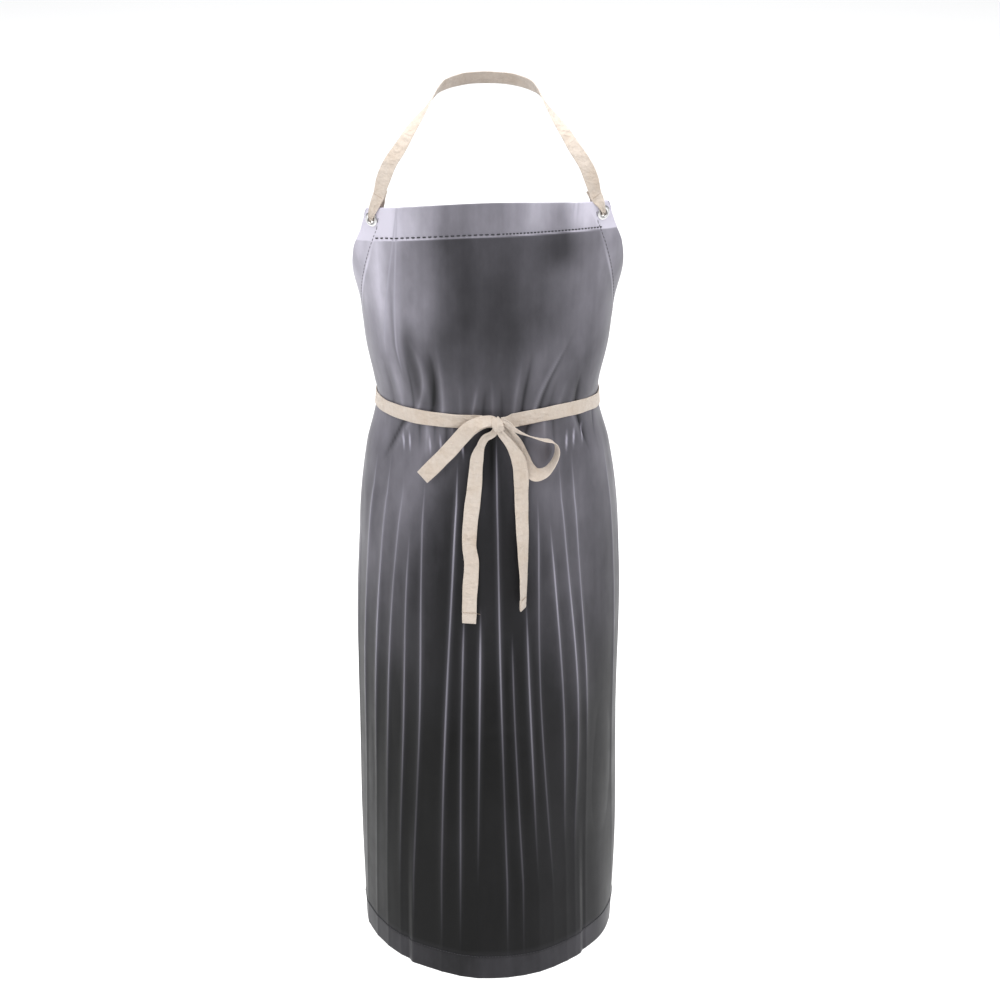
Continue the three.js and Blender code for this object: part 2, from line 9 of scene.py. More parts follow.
import bpy
import numpy as np
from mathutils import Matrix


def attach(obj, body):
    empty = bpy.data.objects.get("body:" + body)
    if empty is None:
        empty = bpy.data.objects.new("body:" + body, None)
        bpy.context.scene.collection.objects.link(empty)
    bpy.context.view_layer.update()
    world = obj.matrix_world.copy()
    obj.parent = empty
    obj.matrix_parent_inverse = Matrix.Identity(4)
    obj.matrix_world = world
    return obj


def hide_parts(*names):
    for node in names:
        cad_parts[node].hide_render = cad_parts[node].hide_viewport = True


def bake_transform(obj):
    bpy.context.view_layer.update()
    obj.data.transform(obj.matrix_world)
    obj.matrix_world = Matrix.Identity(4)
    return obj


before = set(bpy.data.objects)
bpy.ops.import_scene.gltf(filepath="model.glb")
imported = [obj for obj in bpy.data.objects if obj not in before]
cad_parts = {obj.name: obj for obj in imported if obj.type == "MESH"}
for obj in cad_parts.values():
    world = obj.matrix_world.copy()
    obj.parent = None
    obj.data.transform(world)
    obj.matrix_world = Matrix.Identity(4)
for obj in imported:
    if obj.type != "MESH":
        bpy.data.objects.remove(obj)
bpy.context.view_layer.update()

# ---- Driving dimensions, the same as the CAD model's ----

MM = 0.001
INCH = 25.4 * MM
CUT_WIDTH, CUT_LENGTH = 35 * INCH, 45 * INCH
HALF_CUT = CUT_WIDTH / 2
BIB_TOP_HALF, ARMHOLE_DEPTH = 165 * MM, 292 * MM
VINYL = 0.5 * MM
TOP_HEM, TOP_HEM_NARROWING = 46 * MM, 7 * MM
BOTTOM_HEM, ARMHOLE_HEM, SIDE_HEM = 37 * MM, 30 * MM, 26 * MM
SEAM_INSET = 3 * MM
BOTTOM_HEM_TOP = CUT_LENGTH - BOTTOM_HEM
TAPE_WIDTH, TAPE_THICKNESS, TAPE_WOBBLE = 20 * MM, 1.0 * MM, 0.25 * MM
TOP_EDGE_Z, HEM_FRONT_Z, WAIST_Z = -107 * MM, -1239 * MM, -415 * MM
CORNER_DROOP, SIDE_LIFT, BIB_TILT = 14 * MM, 20 * MM, 0.03
BIB_GROMMET = (158.5 * MM, 16 * MM)
WAIST_GROMMET = (HALF_CUT - 16 * MM, ARMHOLE_DEPTH + 11 * MM)
GROMMET_STACK, BARREL_REACH = 3.3 * MM, 6.5 * MM
STRAP_END = np.array([140.5, -86, -104]) * MM
KNOT_ARC, KNOT_OUT, KNOT_WIDTH = 13 * MM, 10 * MM, 17 * MM
BELT_DOWN, BELT_OUT = 305 * MM, 2.4 * MM
SIDES = (("left", -1), ("right", 1))

# Height, half-width, depth in front, depth behind (mm) and the superellipse's power.
GIRTH = np.array([
    (-1260, 176, 165, 158, 2.1),
    (-900, 179, 148, 148, 2.0),
    (-600, 178, 129, 132, 2.0),
    (-490, 167, 118, 117, 2.1),
    (-415, 149.5, 112, 107, 2.2),
    (-330, 163, 114, 106, 2.4),
    (-260, 171, 116, 106, 2.5),
    (-180, 184, 117, 104, 2.5),
    (-90, 188, 114, 100, 2.6),
]) * (MM, MM, MM, MM, 1)

# Distance down the sheet (mm) and the share of its flat width that is left once it is gathered.
GATHER = np.array([(0, 1), (200, 0.97), (305, 0.8), (480, 0.86), (800, 0.93), (1143, 0.97)]) * (MM, 1)

random = np.random.default_rng(7)


# ---- The girth, and the sheet draped on it ----

def smooth_through(knots, values, at):
    """A smooth curve through values at knots: the slope at each is the one between its neighbours."""
    at = np.clip(at, knots[0], knots[-1])
    slopes = np.gradient(values, axis=0)
    steps = np.gradient(knots)
    slopes = slopes / steps.reshape(-1, *[1] * (values.ndim - 1))
    low = np.clip(np.searchsorted(knots, at) - 1, 0, len(knots) - 2)
    span = knots[low + 1] - knots[low]
    t = (at - knots[low]) / span
    shape = t.shape + (1,) * (values.ndim - 1)
    t, span = t.reshape(shape), span.reshape(shape)
    return (
        (2 * t**3 - 3 * t**2 + 1) * values[low]
        + (t**3 - 2 * t**2 + t) * span * slopes[low]
        + (3 * t**2 - 2 * t**3) * values[low + 1]
        + (t**3 - t**2) * span * slopes[low + 1]
    )


def smoothstep(value, low, high):
    t = np.clip((value - low) / (high - low), 0, 1)
    return t * t * (3 - 2 * t)


def girth(z):
    return [smooth_through(GIRTH[:, 0], GIRTH[:, column], z) for column in range(1, 5)]


def ring_point(z, angle):
    half, front, back, power = girth(z)
    cosine = np.cos(angle)
    depth = np.where(cosine > 0, front, back)
    x = half * np.clip(np.sin(angle), 0, 1) ** (2 / power)
    y = -np.sign(cosine) * depth * np.abs(cosine) ** (2 / power)
    return x, y, half, depth, power


# The angle at each share of the way round, at each height, from which any distance round is looked up.
HEIGHTS = np.arange(-1270, -60, 5) * MM
SHARES = np.linspace(0, 1, 401)


def measure_rings():
    angles = np.linspace(0, math.pi, 481)
    lengths, lookup = [], []
    for z in HEIGHTS:
        x, y, *_ = ring_point(np.full_like(angles, z), angles)
        walked = np.concatenate([[0], np.cumsum(np.hypot(np.diff(x), np.diff(y)))])
        lengths.append(walked[-1])
        lookup.append(np.interp(SHARES * walked[-1], walked, angles))
    return np.array(lengths), np.array(lookup)


RING_LENGTHS, RING_ANGLES = measure_rings()


def on_girth(z, arc):
    """Points at heights and distances round, and the level direction that faces out at each."""
    z, arc = np.broadcast_arrays(np.asarray(z, float), np.asarray(arc, float))
    length = np.interp(z, HEIGHTS, RING_LENGTHS)
    wrapped = arc - 2 * length * np.round(arc / (2 * length))
    side = np.where(wrapped < 0, -1.0, 1.0)
    share = np.abs(wrapped) / length * (len(SHARES) - 1)
    row = np.clip((z - HEIGHTS[0]) / (HEIGHTS[1] - HEIGHTS[0]), 0, len(HEIGHTS) - 1.001)
    i, j = row.astype(int), np.clip(share.astype(int), 0, len(SHARES) - 2)
    u, v = row - i, share - j
    below = RING_ANGLES[i, j] * (1 - v) + RING_ANGLES[i, j + 1] * v
    above = RING_ANGLES[i + 1, j] * (1 - v) + RING_ANGLES[i + 1, j + 1] * v
    x, y, half, depth, power = ring_point(z, below * (1 - u) + above * u)
    facing = np.stack([
        side * (x / half) ** (power - 1) / half,
        np.sign(y) * (np.abs(y) / depth) ** (power - 1) / depth,
        np.zeros_like(x),
    ], -1)
    facing /= np.linalg.norm(facing, axis=-1, keepdims=True)
    return np.stack([side * x, y, z], -1), facing


def around(z, arc, out):
    point, facing = on_girth(z, arc)
    return point + facing * np.asarray(out, float)[..., None]


def surface_facing(z, arc):
    """The way the girth's surface faces, with its slope."""
    reach = 5 * MM
    right = around(z, arc + reach, 0) - around(z, arc - reach, 0)
    up = around(z + reach, arc, 0) - around(z - reach, arc, 0)
    return unit(np.cross(right, up))


def unit(vectors):
    return vectors / np.linalg.norm(vectors, axis=-1, keepdims=True)


def bezier(points, t):
    a, b, c, d = [np.array(p) for p in points]
    t = np.asarray(t, float)[..., None]
    return a * (1 - t) ** 3 + 3 * b * t * (1 - t) ** 2 + 3 * c * t**2 * (1 - t) + d * t**3


ARMHOLE_HANDLES = (
    (BIB_TOP_HALF, 0),
    (BIB_TOP_HALF + 40 * MM, 60 * MM),
    (BIB_TOP_HALF + 49 * MM, 240 * MM),
    (HALF_CUT, ARMHOLE_DEPTH),
)
ARMHOLE = bezier(ARMHOLE_HANDLES, np.linspace(0, 1, 400))
ARMHOLE_WALKED = np.concatenate([[0], np.cumsum(np.linalg.norm(np.diff(ARMHOLE, axis=0), axis=1))])


def half_width(down):
    return np.interp(down, ARMHOLE[:, 1], ARMHOLE[:, 0])


def drape_plain(across, down, out):
    bib = 1 - smoothstep(down, 0, ARMHOLE_DEPTH)
    turned = smoothstep(np.abs(across), 0, 270 * MM)
    z = (
        np.interp(down, [0, CUT_LENGTH], [TOP_EDGE_Z, HEM_FRONT_Z])
        - CORNER_DROOP * bib * (across / BIB_TOP_HALF) ** 2
        + SIDE_LIFT * turned * (down / CUT_LENGTH) ** 2
        + BIB_TILT * bib * across
    )
    return around(z, across * smooth_through(GATHER[:, 0], GATHER[:, 1], down), out)


def sheet_place(across, down):
    """Where one place on the flat sheet hangs."""
    return drape_plain(np.array(across), np.array(down), 0)


# ---- Folds in the sheet ----

# The flutes that show in front: each one's place across the sheet (mm) high on the skirt, at the knees
# and low down, where it starts and ends down the sheet, and its strength.
FLUTE_STATIONS = np.array([430, 715, 1000]) * MM
FRONT_FLUTES = [
    ((-206, -225, -232), 400, 930, 1.0),
    ((-173, -192, -194), 395, 930, 1.0),
    ((-143, -164, -164), 425, 1000, 0.8),
    ((-125, -133, -137), 500, 1060, 0.8),
    ((-105, -104, -112), 420, 1100, 0.75),
    ((-50, -62, -68), 390, 1120, 1.0),
    ((-33, -39, -40), 600, 1120, 0.9),
    ((-10, -12, -15), 600, 1010, 1.0),
    ((15, 20, 28), 350, 1130, 0.75),
    ((36, 39, 51), 640, 1140, 0.6),
    ((57, 63, 74), 590, 1020, 0.95),
    ((81, 80, 97), 440, 1060, 0.55),
    ((99, 115, 119), 480, 980, 0.95),
    ((122, 141, 135), 395, 1000, 1.0),
    ((146, 160, 158), 390, 860, 0.9),
]


# The flutes round the sides and the back: the first one's place on each side, the last one's, how each
# drifts from station to station, and the ranges of their start, end, strength and pitch (mm).
SIDE_FLUTES_FROM, SIDE_FLUTES_TO = {-1: 262, 1: 236}, 415
SIDE_FLUTE_DRIFT = (-8, 0, 6)
SIDE_FLUTE_RANGES, SIDE_FLUTE_PITCH = ((380, 560), (900, 1120), (0.3, 0.7)), (22, 36)


def all_flutes():
    """The front flutes, and weaker ones at a wider pitch round the sides to the back."""
    flutes = list(FRONT_FLUTES)
    for sign, place in SIDE_FLUTES_FROM.items():
        while place < SIDE_FLUTES_TO:
            places = tuple(sign * (place + drift) for drift in SIDE_FLUTE_DRIFT)
            flutes.append((places, *[random.uniform(*limits) for limits in SIDE_FLUTE_RANGES]))
            place += random.uniform(*SIDE_FLUTE_PITCH)
    return flutes


FLUTES = all_flutes()

# Tension folds up the bib from the belt: place at the belt and at the fold's far end, sideways bow
# between them, length, height and width (mm). A negative height is a furrow.
GATHERS = [
    (-172, -160, 0, 90, -1.6, 8), (-150, -144, 0, 80, 2.0, 8), (-129, -118, 0, 92, -3.4, 5),
    (-122, -118, 22, 124, 4.4, 8), (-96, -90, 12, 122, -3.8, 8), (-76, -73, 5, 124, 3.4, 7),
    (-45, -42, 0, 60, 1.6, 6), (-26, -13, 0, 56, 3.4, 5), (-8, -2, 0, 50, -1.8, 6), (9, 6, 0, 62, 1.8, 6),
    (24, 22, 0, 52, -1.6, 6), (43, 50, 0, 100, 2.8, 7), (57, 64, 0, 104, -4.0, 5),
    (76, 124, -6, 122, 4.0, 5), (86, 132, -6, 140, -2.8, 5), (104, 112, 0, 70, -2.0, 7),
    (120, 128, 0, 60, 2.0, 6), (144, 139, 0, 50, 2.6, 5), (157, 147, 0, 64, -4.0, 6),
]

# Pulls down the skirt from the belt, given in the same way.
PULLS = [
    (-140, -200, 0, 95, -6.0, 6), (-126, -178, 0, 80, 3.0, 8), (-119, -118, 0, 66, -3.4, 6),
    (-104, -106, 0, 72, 2.6, 8), (-90, -92, 0, 52, -3.0, 5), (-70, -71, 0, 110, -2.8, 5),
    (-58, -60, 0, 60, 2.2, 6), (-38, -40, 0, 62, -2.4, 6), (6, 9, 0, 120, -4.6, 14),
    (75, 52, 0, 52, -3.6, 6), (95, 100, 0, 60, 2.4, 8), (112, 118, 0, 70, -2.2, 6),
    (146, 170, 0, 60, 2.8, 7), (158, 187, 0, 74, -6.0, 6), (204, 200, 0, 60, -2.0, 8),
]

# Short glints where the sheet tips over at the tops of flutes: place across and down (mm).
GLINTS = [(-149, 350), (-137, 349), (-99, 349), (-80, 347), (-42, 347), (138, 349), (152, 345), (170, 343)]

# Creases from the sheet's folding in its packet: along the sheet (place at the top and at the end, and
# the end) and across it (place down it, and the two ends), all in mm.
LENGTHWISE_CREASES = [(-119, -154, 240), (-119, -133, 262), (114, 110, 52), (120, 117, 50)]
CROSSWISE_CREASES = [(425, -225, -79), (427, 71, 172), (543, -70, -10), (622, -50, 52), (766, -60, 70)]


def cusp(distance, width):
    """A ridge with a fairly sharp crest."""
    return np.exp(-np.sqrt(distance**2 + (0.12 * width) ** 2) / (0.5 * width))


def line_glow(distance, width):
    """A soft line: 1 on it, fading over its width."""
    return np.exp(-((distance / width) ** 2))


def fold_lines(across, down, lines, direction):
    """Folds that fade with their distance from the belt, up the sheet (-1) or down it (1)."""
    total = np.zeros_like(across)
    past_belt = direction * (down - BELT_DOWN)
    for near, far, bow, length, height, width in np.array(lines) * MM:
        along = np.clip(past_belt / length, 0, 1)
        line = near + (far - near) * along + bow * np.sin(math.pi * along)
        fade = np.where(past_belt < 0, 0, 1 - smoothstep(along, 0.3, 1))
        total += height * fade * cusp(across - line, width)
    return total


def flute_relief(across, down):
    """The height of the skirt's flutes, and the painted highlight along their crests and at the glints."""
    height, crest = np.zeros_like(across), np.zeros_like(across)
    for places, start, end, strength in FLUTES:
        line = smooth_through(FLUTE_STATIONS, np.array(places) * MM, down)
        distance = across - line
        grown = smoothstep(down, (start - 30) * MM, (start + 60) * MM)
        ends = 1 - smoothstep(down, (end - 200) * MM, end * MM)
        height += 3.2 * MM * strength * grown * (0.35 + 0.65 * ends) * cusp(distance, 9 * MM)
        # The painted highlight on each crest: patchy, and fading down the skirt.
        patchy = 0.8 + 0.2 * np.sin(down / (57 * MM) + places[0])
        highlight_strength = strength * patchy * grown * ends * (1 - 0.68 * smoothstep(down, 560 * MM, 900 * MM))
        glow = 0.9 * line_glow(distance, 0.95 * MM) + 0.12 * line_glow(distance, 4.5 * MM)
        crest = np.maximum(crest, highlight_strength * glow)
    # Painted glints at the tops of flutes.
    for place, at in np.array(GLINTS) * MM:
        distance = across - place + 0.12 * (down - at) * np.sign(place)
        crest = np.maximum(crest, 1.3 * line_glow(distance, 1.7 * MM) * line_glow(down - at, 9 * MM))
    return height, crest


def soft_waves(across, down):
    """Slow unevenness of a sheet that was folded and doesn't hang quite true."""
    waves = (
        1.3 * np.sin(across / (31 * MM) + 2.2 * np.sin(down / (170 * MM)))
        + 1.0 * np.sin(down / (64 * MM) + across / (75 * MM) + 1.0)
        + 0.7 * np.sin(across / (17 * MM) - down / (120 * MM))
    )
    return waves * MM * smoothstep(down, 40 * MM, 200 * MM)


def crease_relief(across, down):
    """The creases' height, and the painted highlight along them."""
    height, crest = np.zeros_like(across), np.zeros_like(across)
    for top, bottom, end in np.array(LENGTHWISE_CREASES) * MM:
        line = top + (bottom - top) * np.clip(down / end, 0, 1)
        shown = 1 - smoothstep(down, end - 60 * MM, end)
        height += 1.3 * MM * shown * cusp(across - line, 6 * MM)
        # A painted highlight along each crease.
        glow = 0.6 * line_glow(across - line, 1.3 * MM) + 0.2 * line_glow(across - line - 3 * MM, 5 * MM)
        crest = np.maximum(crest, shown * glow)
    for place, left, right in np.array(CROSSWISE_CREASES) * MM:
        inside = smoothstep(across, left, left + 25 * MM) * (1 - smoothstep(across, right - 25 * MM, right))
        height -= 0.7 * MM * inside * cusp(down - place, 6 * MM)
    return height, crest


def hem_steps(across, down):
    """Near the bottom the front of the skirt stands out, and steps back sharply at each side."""
    low = smoothstep(down, CUT_LENGTH - 260 * MM, CUT_LENGTH - 10 * MM)
    left = smoothstep(across, -124 * MM, -113 * MM)
    right = 1 - smoothstep(across, 143 * MM, 154 * MM)
    return 4.5 * MM * low * left * right


def corner_flare(across, down):
    """The bib's free edges stand off below the grommets."""
    reach = half_width(down) - np.abs(across)
    band = smoothstep(down, 26 * MM, 60 * MM) * (1 - smoothstep(down, 80 * MM, 190 * MM))
    return 6 * MM * band * (1 - smoothstep(reach, 0, 45 * MM))


# How far in the folds may go from the plain drape.
DEEPEST_FOLD = 1.5 * MM


def relief(across, down):
    """How far the sheet stands out from the plain drape, the painted highlight on its crests and creases, and
    its folds.
    """
    flutes, crest = flute_relief(across, down)
    creases, crease_glow = crease_relief(across, down)
    held_by_belt = 1 - 0.85 * line_glow(down - BELT_DOWN, 11 * MM)
    calm = smoothstep(down, 2 * MM, 60 * MM)
    grommet_calm = smoothstep(half_width(down) - np.abs(across), 0, 26 * MM)
    folds = fold_lines(across, down, GATHERS, -1) + fold_lines(across, down, PULLS, 1)
    height = flutes + 0.9 * folds + soft_waves(across, down) * calm
    near_waist_grommet = 1 - smoothstep(np.abs(down - WAIST_GROMMET[1]), 20 * MM, 60 * MM)
    height = height * (1 - near_waist_grommet * (1 - grommet_calm))
    height = height * held_by_belt + creases
    height += hem_steps(across, down) + corner_flare(across, down)
    return np.maximum(height, -DEEPEST_FOLD), np.maximum(crest, crease_glow), folds


def drape(across, down, out=0.0):
    across, down = np.broadcast_arrays(np.asarray(across, float), np.asarray(down, float))
    height, *_ = relief(across, down)
    return drape_plain(across, down, height + out)


# ---- Meshes ----

def new_object(name, points, faces, smooth=True):
    mesh = bpy.data.meshes.new(name)
    mesh.from_pydata([tuple(p) for p in points], [], [tuple(f) for f in faces])
    mesh.validate()
    mesh.polygons.foreach_set("use_smooth", [smooth] * len(mesh.polygons))
    piece = bpy.data.objects.new(name, mesh)
    bpy.context.scene.collection.objects.link(piece)
    return piece


def grid_faces(rows, columns, wrap=False):
    """Quads of a grid of points, row by row, closed across its columns if wrap is set."""
    faces = []
    last = columns if wrap else columns - 1
    for row in range(rows - 1):
        for column in range(last):
            right = (column + 1) % columns
            faces.append((
                row * columns + column,
                row * columns + right,
                (row + 1) * columns + right,
                (row + 1) * columns + column,
            ))
    return faces


def closed_faces(rows, columns, wrap=False):
    """Quads of a grid whose last row joins its first."""
    return [tuple(i % (rows * columns) for i in face) for face in grid_faces(rows + 1, columns, wrap)]


def store(piece, name, values):
    attribute = piece.data.attributes.new(name, "FLOAT", "POINT")
    attribute.data.foreach_set("value", np.asarray(values, np.float32).ravel())


def thicken(piece, thickness):
    solidify = piece.modifiers.new("thickness", "SOLIDIFY")
    solidify.thickness = thickness
    solidify.offset = -1
    apply_modifiers(piece)


def apply_modifiers(piece):
    graph = bpy.context.evaluated_depsgraph_get()
    mesh = bpy.data.meshes.new_from_object(piece.evaluated_get(graph))
    piece.modifiers.clear()
    piece.data = mesh


def finished(piece, material, slot, *nodes, body="apron"):
    """Gives a piece its material and its body, and hides the CAD nodes that it stands for. The slot is not
    used.
    """
    piece.data.materials.clear()
    piece.data.materials.append(material)
    if nodes:
        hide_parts(*nodes)
    if body:
        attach(piece, body)
    return piece


# ---- Materials ----

def new_material(name):
    material = bpy.data.materials.new(name)
    material.use_nodes = True
    tree = material.node_tree
    return material, tree, tree.nodes["Principled BSDF"]


def plug(tree, node, inputs):
    """Links a node's inputs that are given as sockets, and sets the ones that are given as values."""
    for key, value in inputs.items():
        if isinstance(value, bpy.types.NodeSocket):
            tree.links.new(value, node.inputs[key])
        else:
            node.inputs[key].default_value = value


def add_node(tree, kind, inputs, **settings):
    node = tree.nodes.new(kind)
    for key, value in settings.items():
        setattr(node, key, value)
    plug(tree, node, inputs)
    return node


def ramp(tree, factor, stops):
    """Greys through stops of (place, level)."""
    node = add_node(tree, "ShaderNodeValToRGB", {"Fac": factor})
    elements = node.color_ramp.elements
    while len(elements) < len(stops):
        elements.new(1.0)
    for element, (place, level) in zip(elements, stops):
        element.position = place
        element.color = (level, level, level, 1)
    return node.outputs["Color"]


def math_node(tree, operation, first, second):
    node = add_node(tree, "ShaderNodeMath", {0: first, 1: second}, operation=operation)
    return node.outputs[0]


def mix_colours(tree, factor, first, second, blend_type="MIX"):
    """Two colours mixed. Each is a socket or three numbers."""
    first, second = (c if isinstance(c, bpy.types.NodeSocket) else (*c, 1) for c in (first, second))
    inputs = {0: factor, 6: first, 7: second}
    return add_node(tree, "ShaderNodeMix", inputs, data_type="RGBA", blend_type=blend_type).outputs[2]


def noise(tree, scale, stretch=(1, 1, 1), *, detail, roughness=0.5):
    place = add_node(tree, "ShaderNodeTexCoord", {}).outputs["Object"]
    mapped = add_node(tree, "ShaderNodeMapping", {"Vector": place, "Scale": stretch}).outputs[0]
    inputs = {"Vector": mapped, "Scale": scale, "Detail": detail, "Roughness": roughness}
    return add_node(tree, "ShaderNodeTexNoise", inputs).outputs["Fac"]


def bump(tree, height, strength, distance, normal=None):
    inputs = {"Height": height, "Strength": strength, "Distance": distance}
    if normal is not None:
        inputs["Normal"] = normal
    return add_node(tree, "ShaderNodeBump", inputs).outputs["Normal"]


def remap(tree, value, low, high):
    inputs = {"Value": value, "To Min": low, "To Max": high}
    return add_node(tree, "ShaderNodeMapRange", inputs).outputs["Result"]


def stored_values(tree, name):
    return add_node(tree, "ShaderNodeAttribute", {}, attribute_name=name).outputs["Fac"]


def bands(tree, place, scale, distortion, direction):
    inputs = {"Vector": place, "Scale": scale, "Distortion": distortion, "Detail": 1.0}
    return add_node(tree, "ShaderNodeTexWave", inputs, bands_direction=direction).outputs["Fac"]


# How light the vinyl's colour is for each paleness, with what it reflects of a white room taken away.
VINYL_TONES = [
    (0.1, 0.001), (0.2, 0.014), (0.3, 0.052), (0.4, 0.112),
    (0.5, 0.19), (0.6, 0.30), (0.7, 0.43), (0.85, 0.70),
]
# The grey of the painted highlights on crests, creases and glints, and the vinyl's tint.
CREST_HIGHLIGHT_GREY, VINYL_TINT = (0.42, 0.42, 0.43), (0.985, 0.945, 1.09)
# A brown for smears of painted shade on the tapes.
PAINTED_SHADE_BROWN = (0.50, 0.37, 0.25)
NICKEL_DULL, NICKEL_BRIGHT = (0.62, 0.61, 0.60), (0.86, 0.86, 0.87)
WEAK_SPECULAR = 0.2


def vinyl_material():
    """Smoky clear vinyl: darker where single and milky where doubled, with painted light and shade and
    painted highlights on crests, creases and glints.
    """
    material, tree, shader = new_material("smoky_vinyl")
    # The stored tone is the sheet's haze with painted light and shade; the crest values are painted
    # highlights.
    haze_and_painted_light, crest = stored_values(tree, "haze_and_painted_light"), stored_values(tree, "crest")
    cloudy = noise(tree, 7.0, (1, 1, 0.6), detail=4.0)
    streaks = noise(tree, 60.0, (1, 1, 0.04), detail=2.0)
    blotches = noise(tree, 19.0, (1, 1, 0.45), detail=5.0, roughness=0.6)
    uneven = math_node(tree, "ADD", remap(tree, cloudy, -0.3, 0.3), remap(tree, streaks, -0.09, 0.09))
    uneven = math_node(tree, "ADD", uneven, remap(tree, blotches, -0.2, 0.2))
    scaled = math_node(tree, "MULTIPLY", uneven, math_node(tree, "ADD", haze_and_painted_light, 0.06))
    toned = math_node(tree, "ADD", haze_and_painted_light, scaled)
    grey = ramp(tree, toned, VINYL_TONES)
    # Painted highlights along flute crests, creases and glints.
    highlighted = mix_colours(tree, crest, grey, CREST_HIGHLIGHT_GREY)
    smudges = noise(tree, 22.0, detail=5.0, roughness=0.65)
    ripple = bump(tree, noise(tree, 26.0, (1, 1, 0.3), detail=2.0), 0.22, 3 * MM)
    plug(tree, shader, {
        "Base Color": mix_colours(tree, 1.0, highlighted, VINYL_TINT, "MULTIPLY"),
        "Roughness": remap(tree, smudges, 0.32, 0.5),
        "Normal": bump(tree, noise(tree, 900.0, detail=1.0), 0.08, 0.2 * MM, ripple),
        "Specular IOR Level": WEAK_SPECULAR,
    })
    return material


def cotton_material(name, light, dark):
    """Cotton twill: diagonal ribs across the tape, fine threads along it, slubs, and painted shade: soft,
    between the ribs and in brown smears.
    """
    material, tree, shader = new_material(name)
    place = add_node(tree, "ShaderNodeUVMap", {}, uv_map="tape").outputs["UV"]
    in_mm = add_node(tree, "ShaderNodeMapping", {"Vector": place, "Scale": (1000, 1000, 1)}).outputs[0]
    diagonal = bands(tree, in_mm, 0.32, 0.6, "DIAGONAL")
    threads = bands(tree, in_mm, 0.55, 0.8, "X")
    slubs = noise(tree, 330.0, (1, 1, 0.35), detail=4.0)
    soft = noise(tree, 28.0, detail=3.0)
    # Painted shade: the darker colour, the tape in shade, comes in where the slubs and the soft noise are
    # low.
    shade = math_node(tree, "ADD", remap(tree, slubs, 0.0, 0.55), remap(tree, soft, 0.0, 0.5))
    base = mix_colours(tree, shade, dark, light)
    # Brown smears of painted shade.
    shade_noise = noise(tree, 46.0, (1, 1, 0.7), detail=4.0, roughness=0.6)
    shade_smears = add_node(tree, "ShaderNodeMapRange", {"Value": shade_noise, "From Min": 0.5, "From Max": 0.72})
    base = mix_colours(tree, math_node(tree, "MULTIPLY", shade_smears.outputs[0], 0.3), base, PAINTED_SHADE_BROWN)
    # Painted shade between the diagonal ribs.
    shade_between_ribs = [c * 0.7 for c in dark]
    weave = bump(tree, diagonal, 0.5, 0.25 * MM, bump(tree, threads, 0.3, 0.15 * MM))
    rumpled = bump(tree, noise(tree, 75.0, (1, 1, 1.6), detail=3.0), 0.9, 4.5 * MM, weave)
    plug(tree, shader, {
        "Base Color": mix_colours(tree, remap(tree, diagonal, 0.3, 0.0), base, shade_between_ribs),
        "Roughness": remap(tree, slubs, 0.78, 0.95),
        "Normal": bump(tree, slubs, 0.35, 0.4 * MM, rumpled),
        "Sheen Weight": 0.25,
        "Sheen Roughness": 0.5,
        "Specular IOR Level": WEAK_SPECULAR,
    })
    return material


def thread_material(name, light, dark):
    """Sewing thread: its plies show as fine light and dark flecks."""
    material, tree, shader = new_material(name)
    ply = noise(tree, 1500.0, detail=2.0)
    plug(tree, shader, {
        "Base Color": mix_colours(tree, ply, dark, light),
        "Roughness": remap(tree, ply, 0.45, 0.75),
        "Normal": bump(tree, ply, 0.5, 0.15 * MM),
    })
    return material


def nickel_material():
    """Nickel plate: bright, with fine stamping marks and duller spots."""
    material, tree, shader = new_material("nickel_plate")
    marks = noise(tree, 420.0, (1, 1, 0.2), detail=3.0)
    dull = noise(tree, 90.0, detail=4.0)
    plug(tree, shader, {
        "Base Color": mix_colours(tree, dull, NICKEL_DULL, NICKEL_BRIGHT),
        "Roughness": remap(tree, dull, 0.16, 0.36),
        "Normal": bump(tree, marks, 0.12, 0.1 * MM),
        "Metallic": 1.0,
    })
    return material


VINYL_LOOK = vinyl_material()
# The tape's colour, and a darker copy of it for painted shade.
COTTON_LOOK = cotton_material("cotton_twill", (0.79, 0.72, 0.66), (0.60, 0.49, 0.39))
SEAM_LOOK = thread_material("dark_thread", (0.030, 0.030, 0.038), (0.010, 0.010, 0.013))
TAPE_THREAD_LOOK = thread_material("cotton_thread", (0.46, 0.36, 0.27), (0.30, 0.23, 0.17))
NICKEL_LOOK = nickel_material()


# ---- The sheet and its hems ----

def top_hem_depth(across):
    return TOP_HEM - TOP_HEM_NARROWING * smoothstep(across, 0, BIB_TOP_HALF)


def nearest_armhole(across, down):
    """The distance from the nearer armhole's edge, measured across the edge. It is rough far from it."""
    slope = np.gradient(ARMHOLE[:, 0], ARMHOLE[:, 1])
    lean = np.interp(down, ARMHOLE[:, 1], slope)
    level = (half_width(down) - np.abs(across)) / np.sqrt(1 + lean**2)
    return np.where(down < ARMHOLE_DEPTH, level, 1.0)


# How pale the sheet is painted (0 black, 1 white) at distances down it: at the middle, and towards each side,
# and the distance across (mm) over which it changes. It is painted light and shade: paler up the bib and
# towards the sides, darker down the skirt.
PAINTED_LIGHT_STATIONS = np.array([0, 60, 120, 200, 290, 320, 360, 420, 510, 600, 680, 770, 870, 1143]) * MM
PAINTED_LIGHT_LEVELS = {
    "middle": [0.32, 0.31, 0.29, 0.31, 0.33, 0.31, 0.23, 0.20, 0.18, 0.19, 0.15, 0.12, 0.10, 0.11],
    "left": [0.70, 0.70, 0.70, 0.60, 0.50, 0.50, 0.50, 0.50, 0.42, 0.30, 0.21, 0.13, 0.10, 0.11],
    "right": [0.68, 0.54, 0.50, 0.46, 0.40, 0.42, 0.43, 0.42, 0.36, 0.32, 0.26, 0.19, 0.17, 0.16],
    "reach": [165, 165, 165, 165, 150, 110, 85, 150, 190, 200, 200, 200, 200, 200],
}


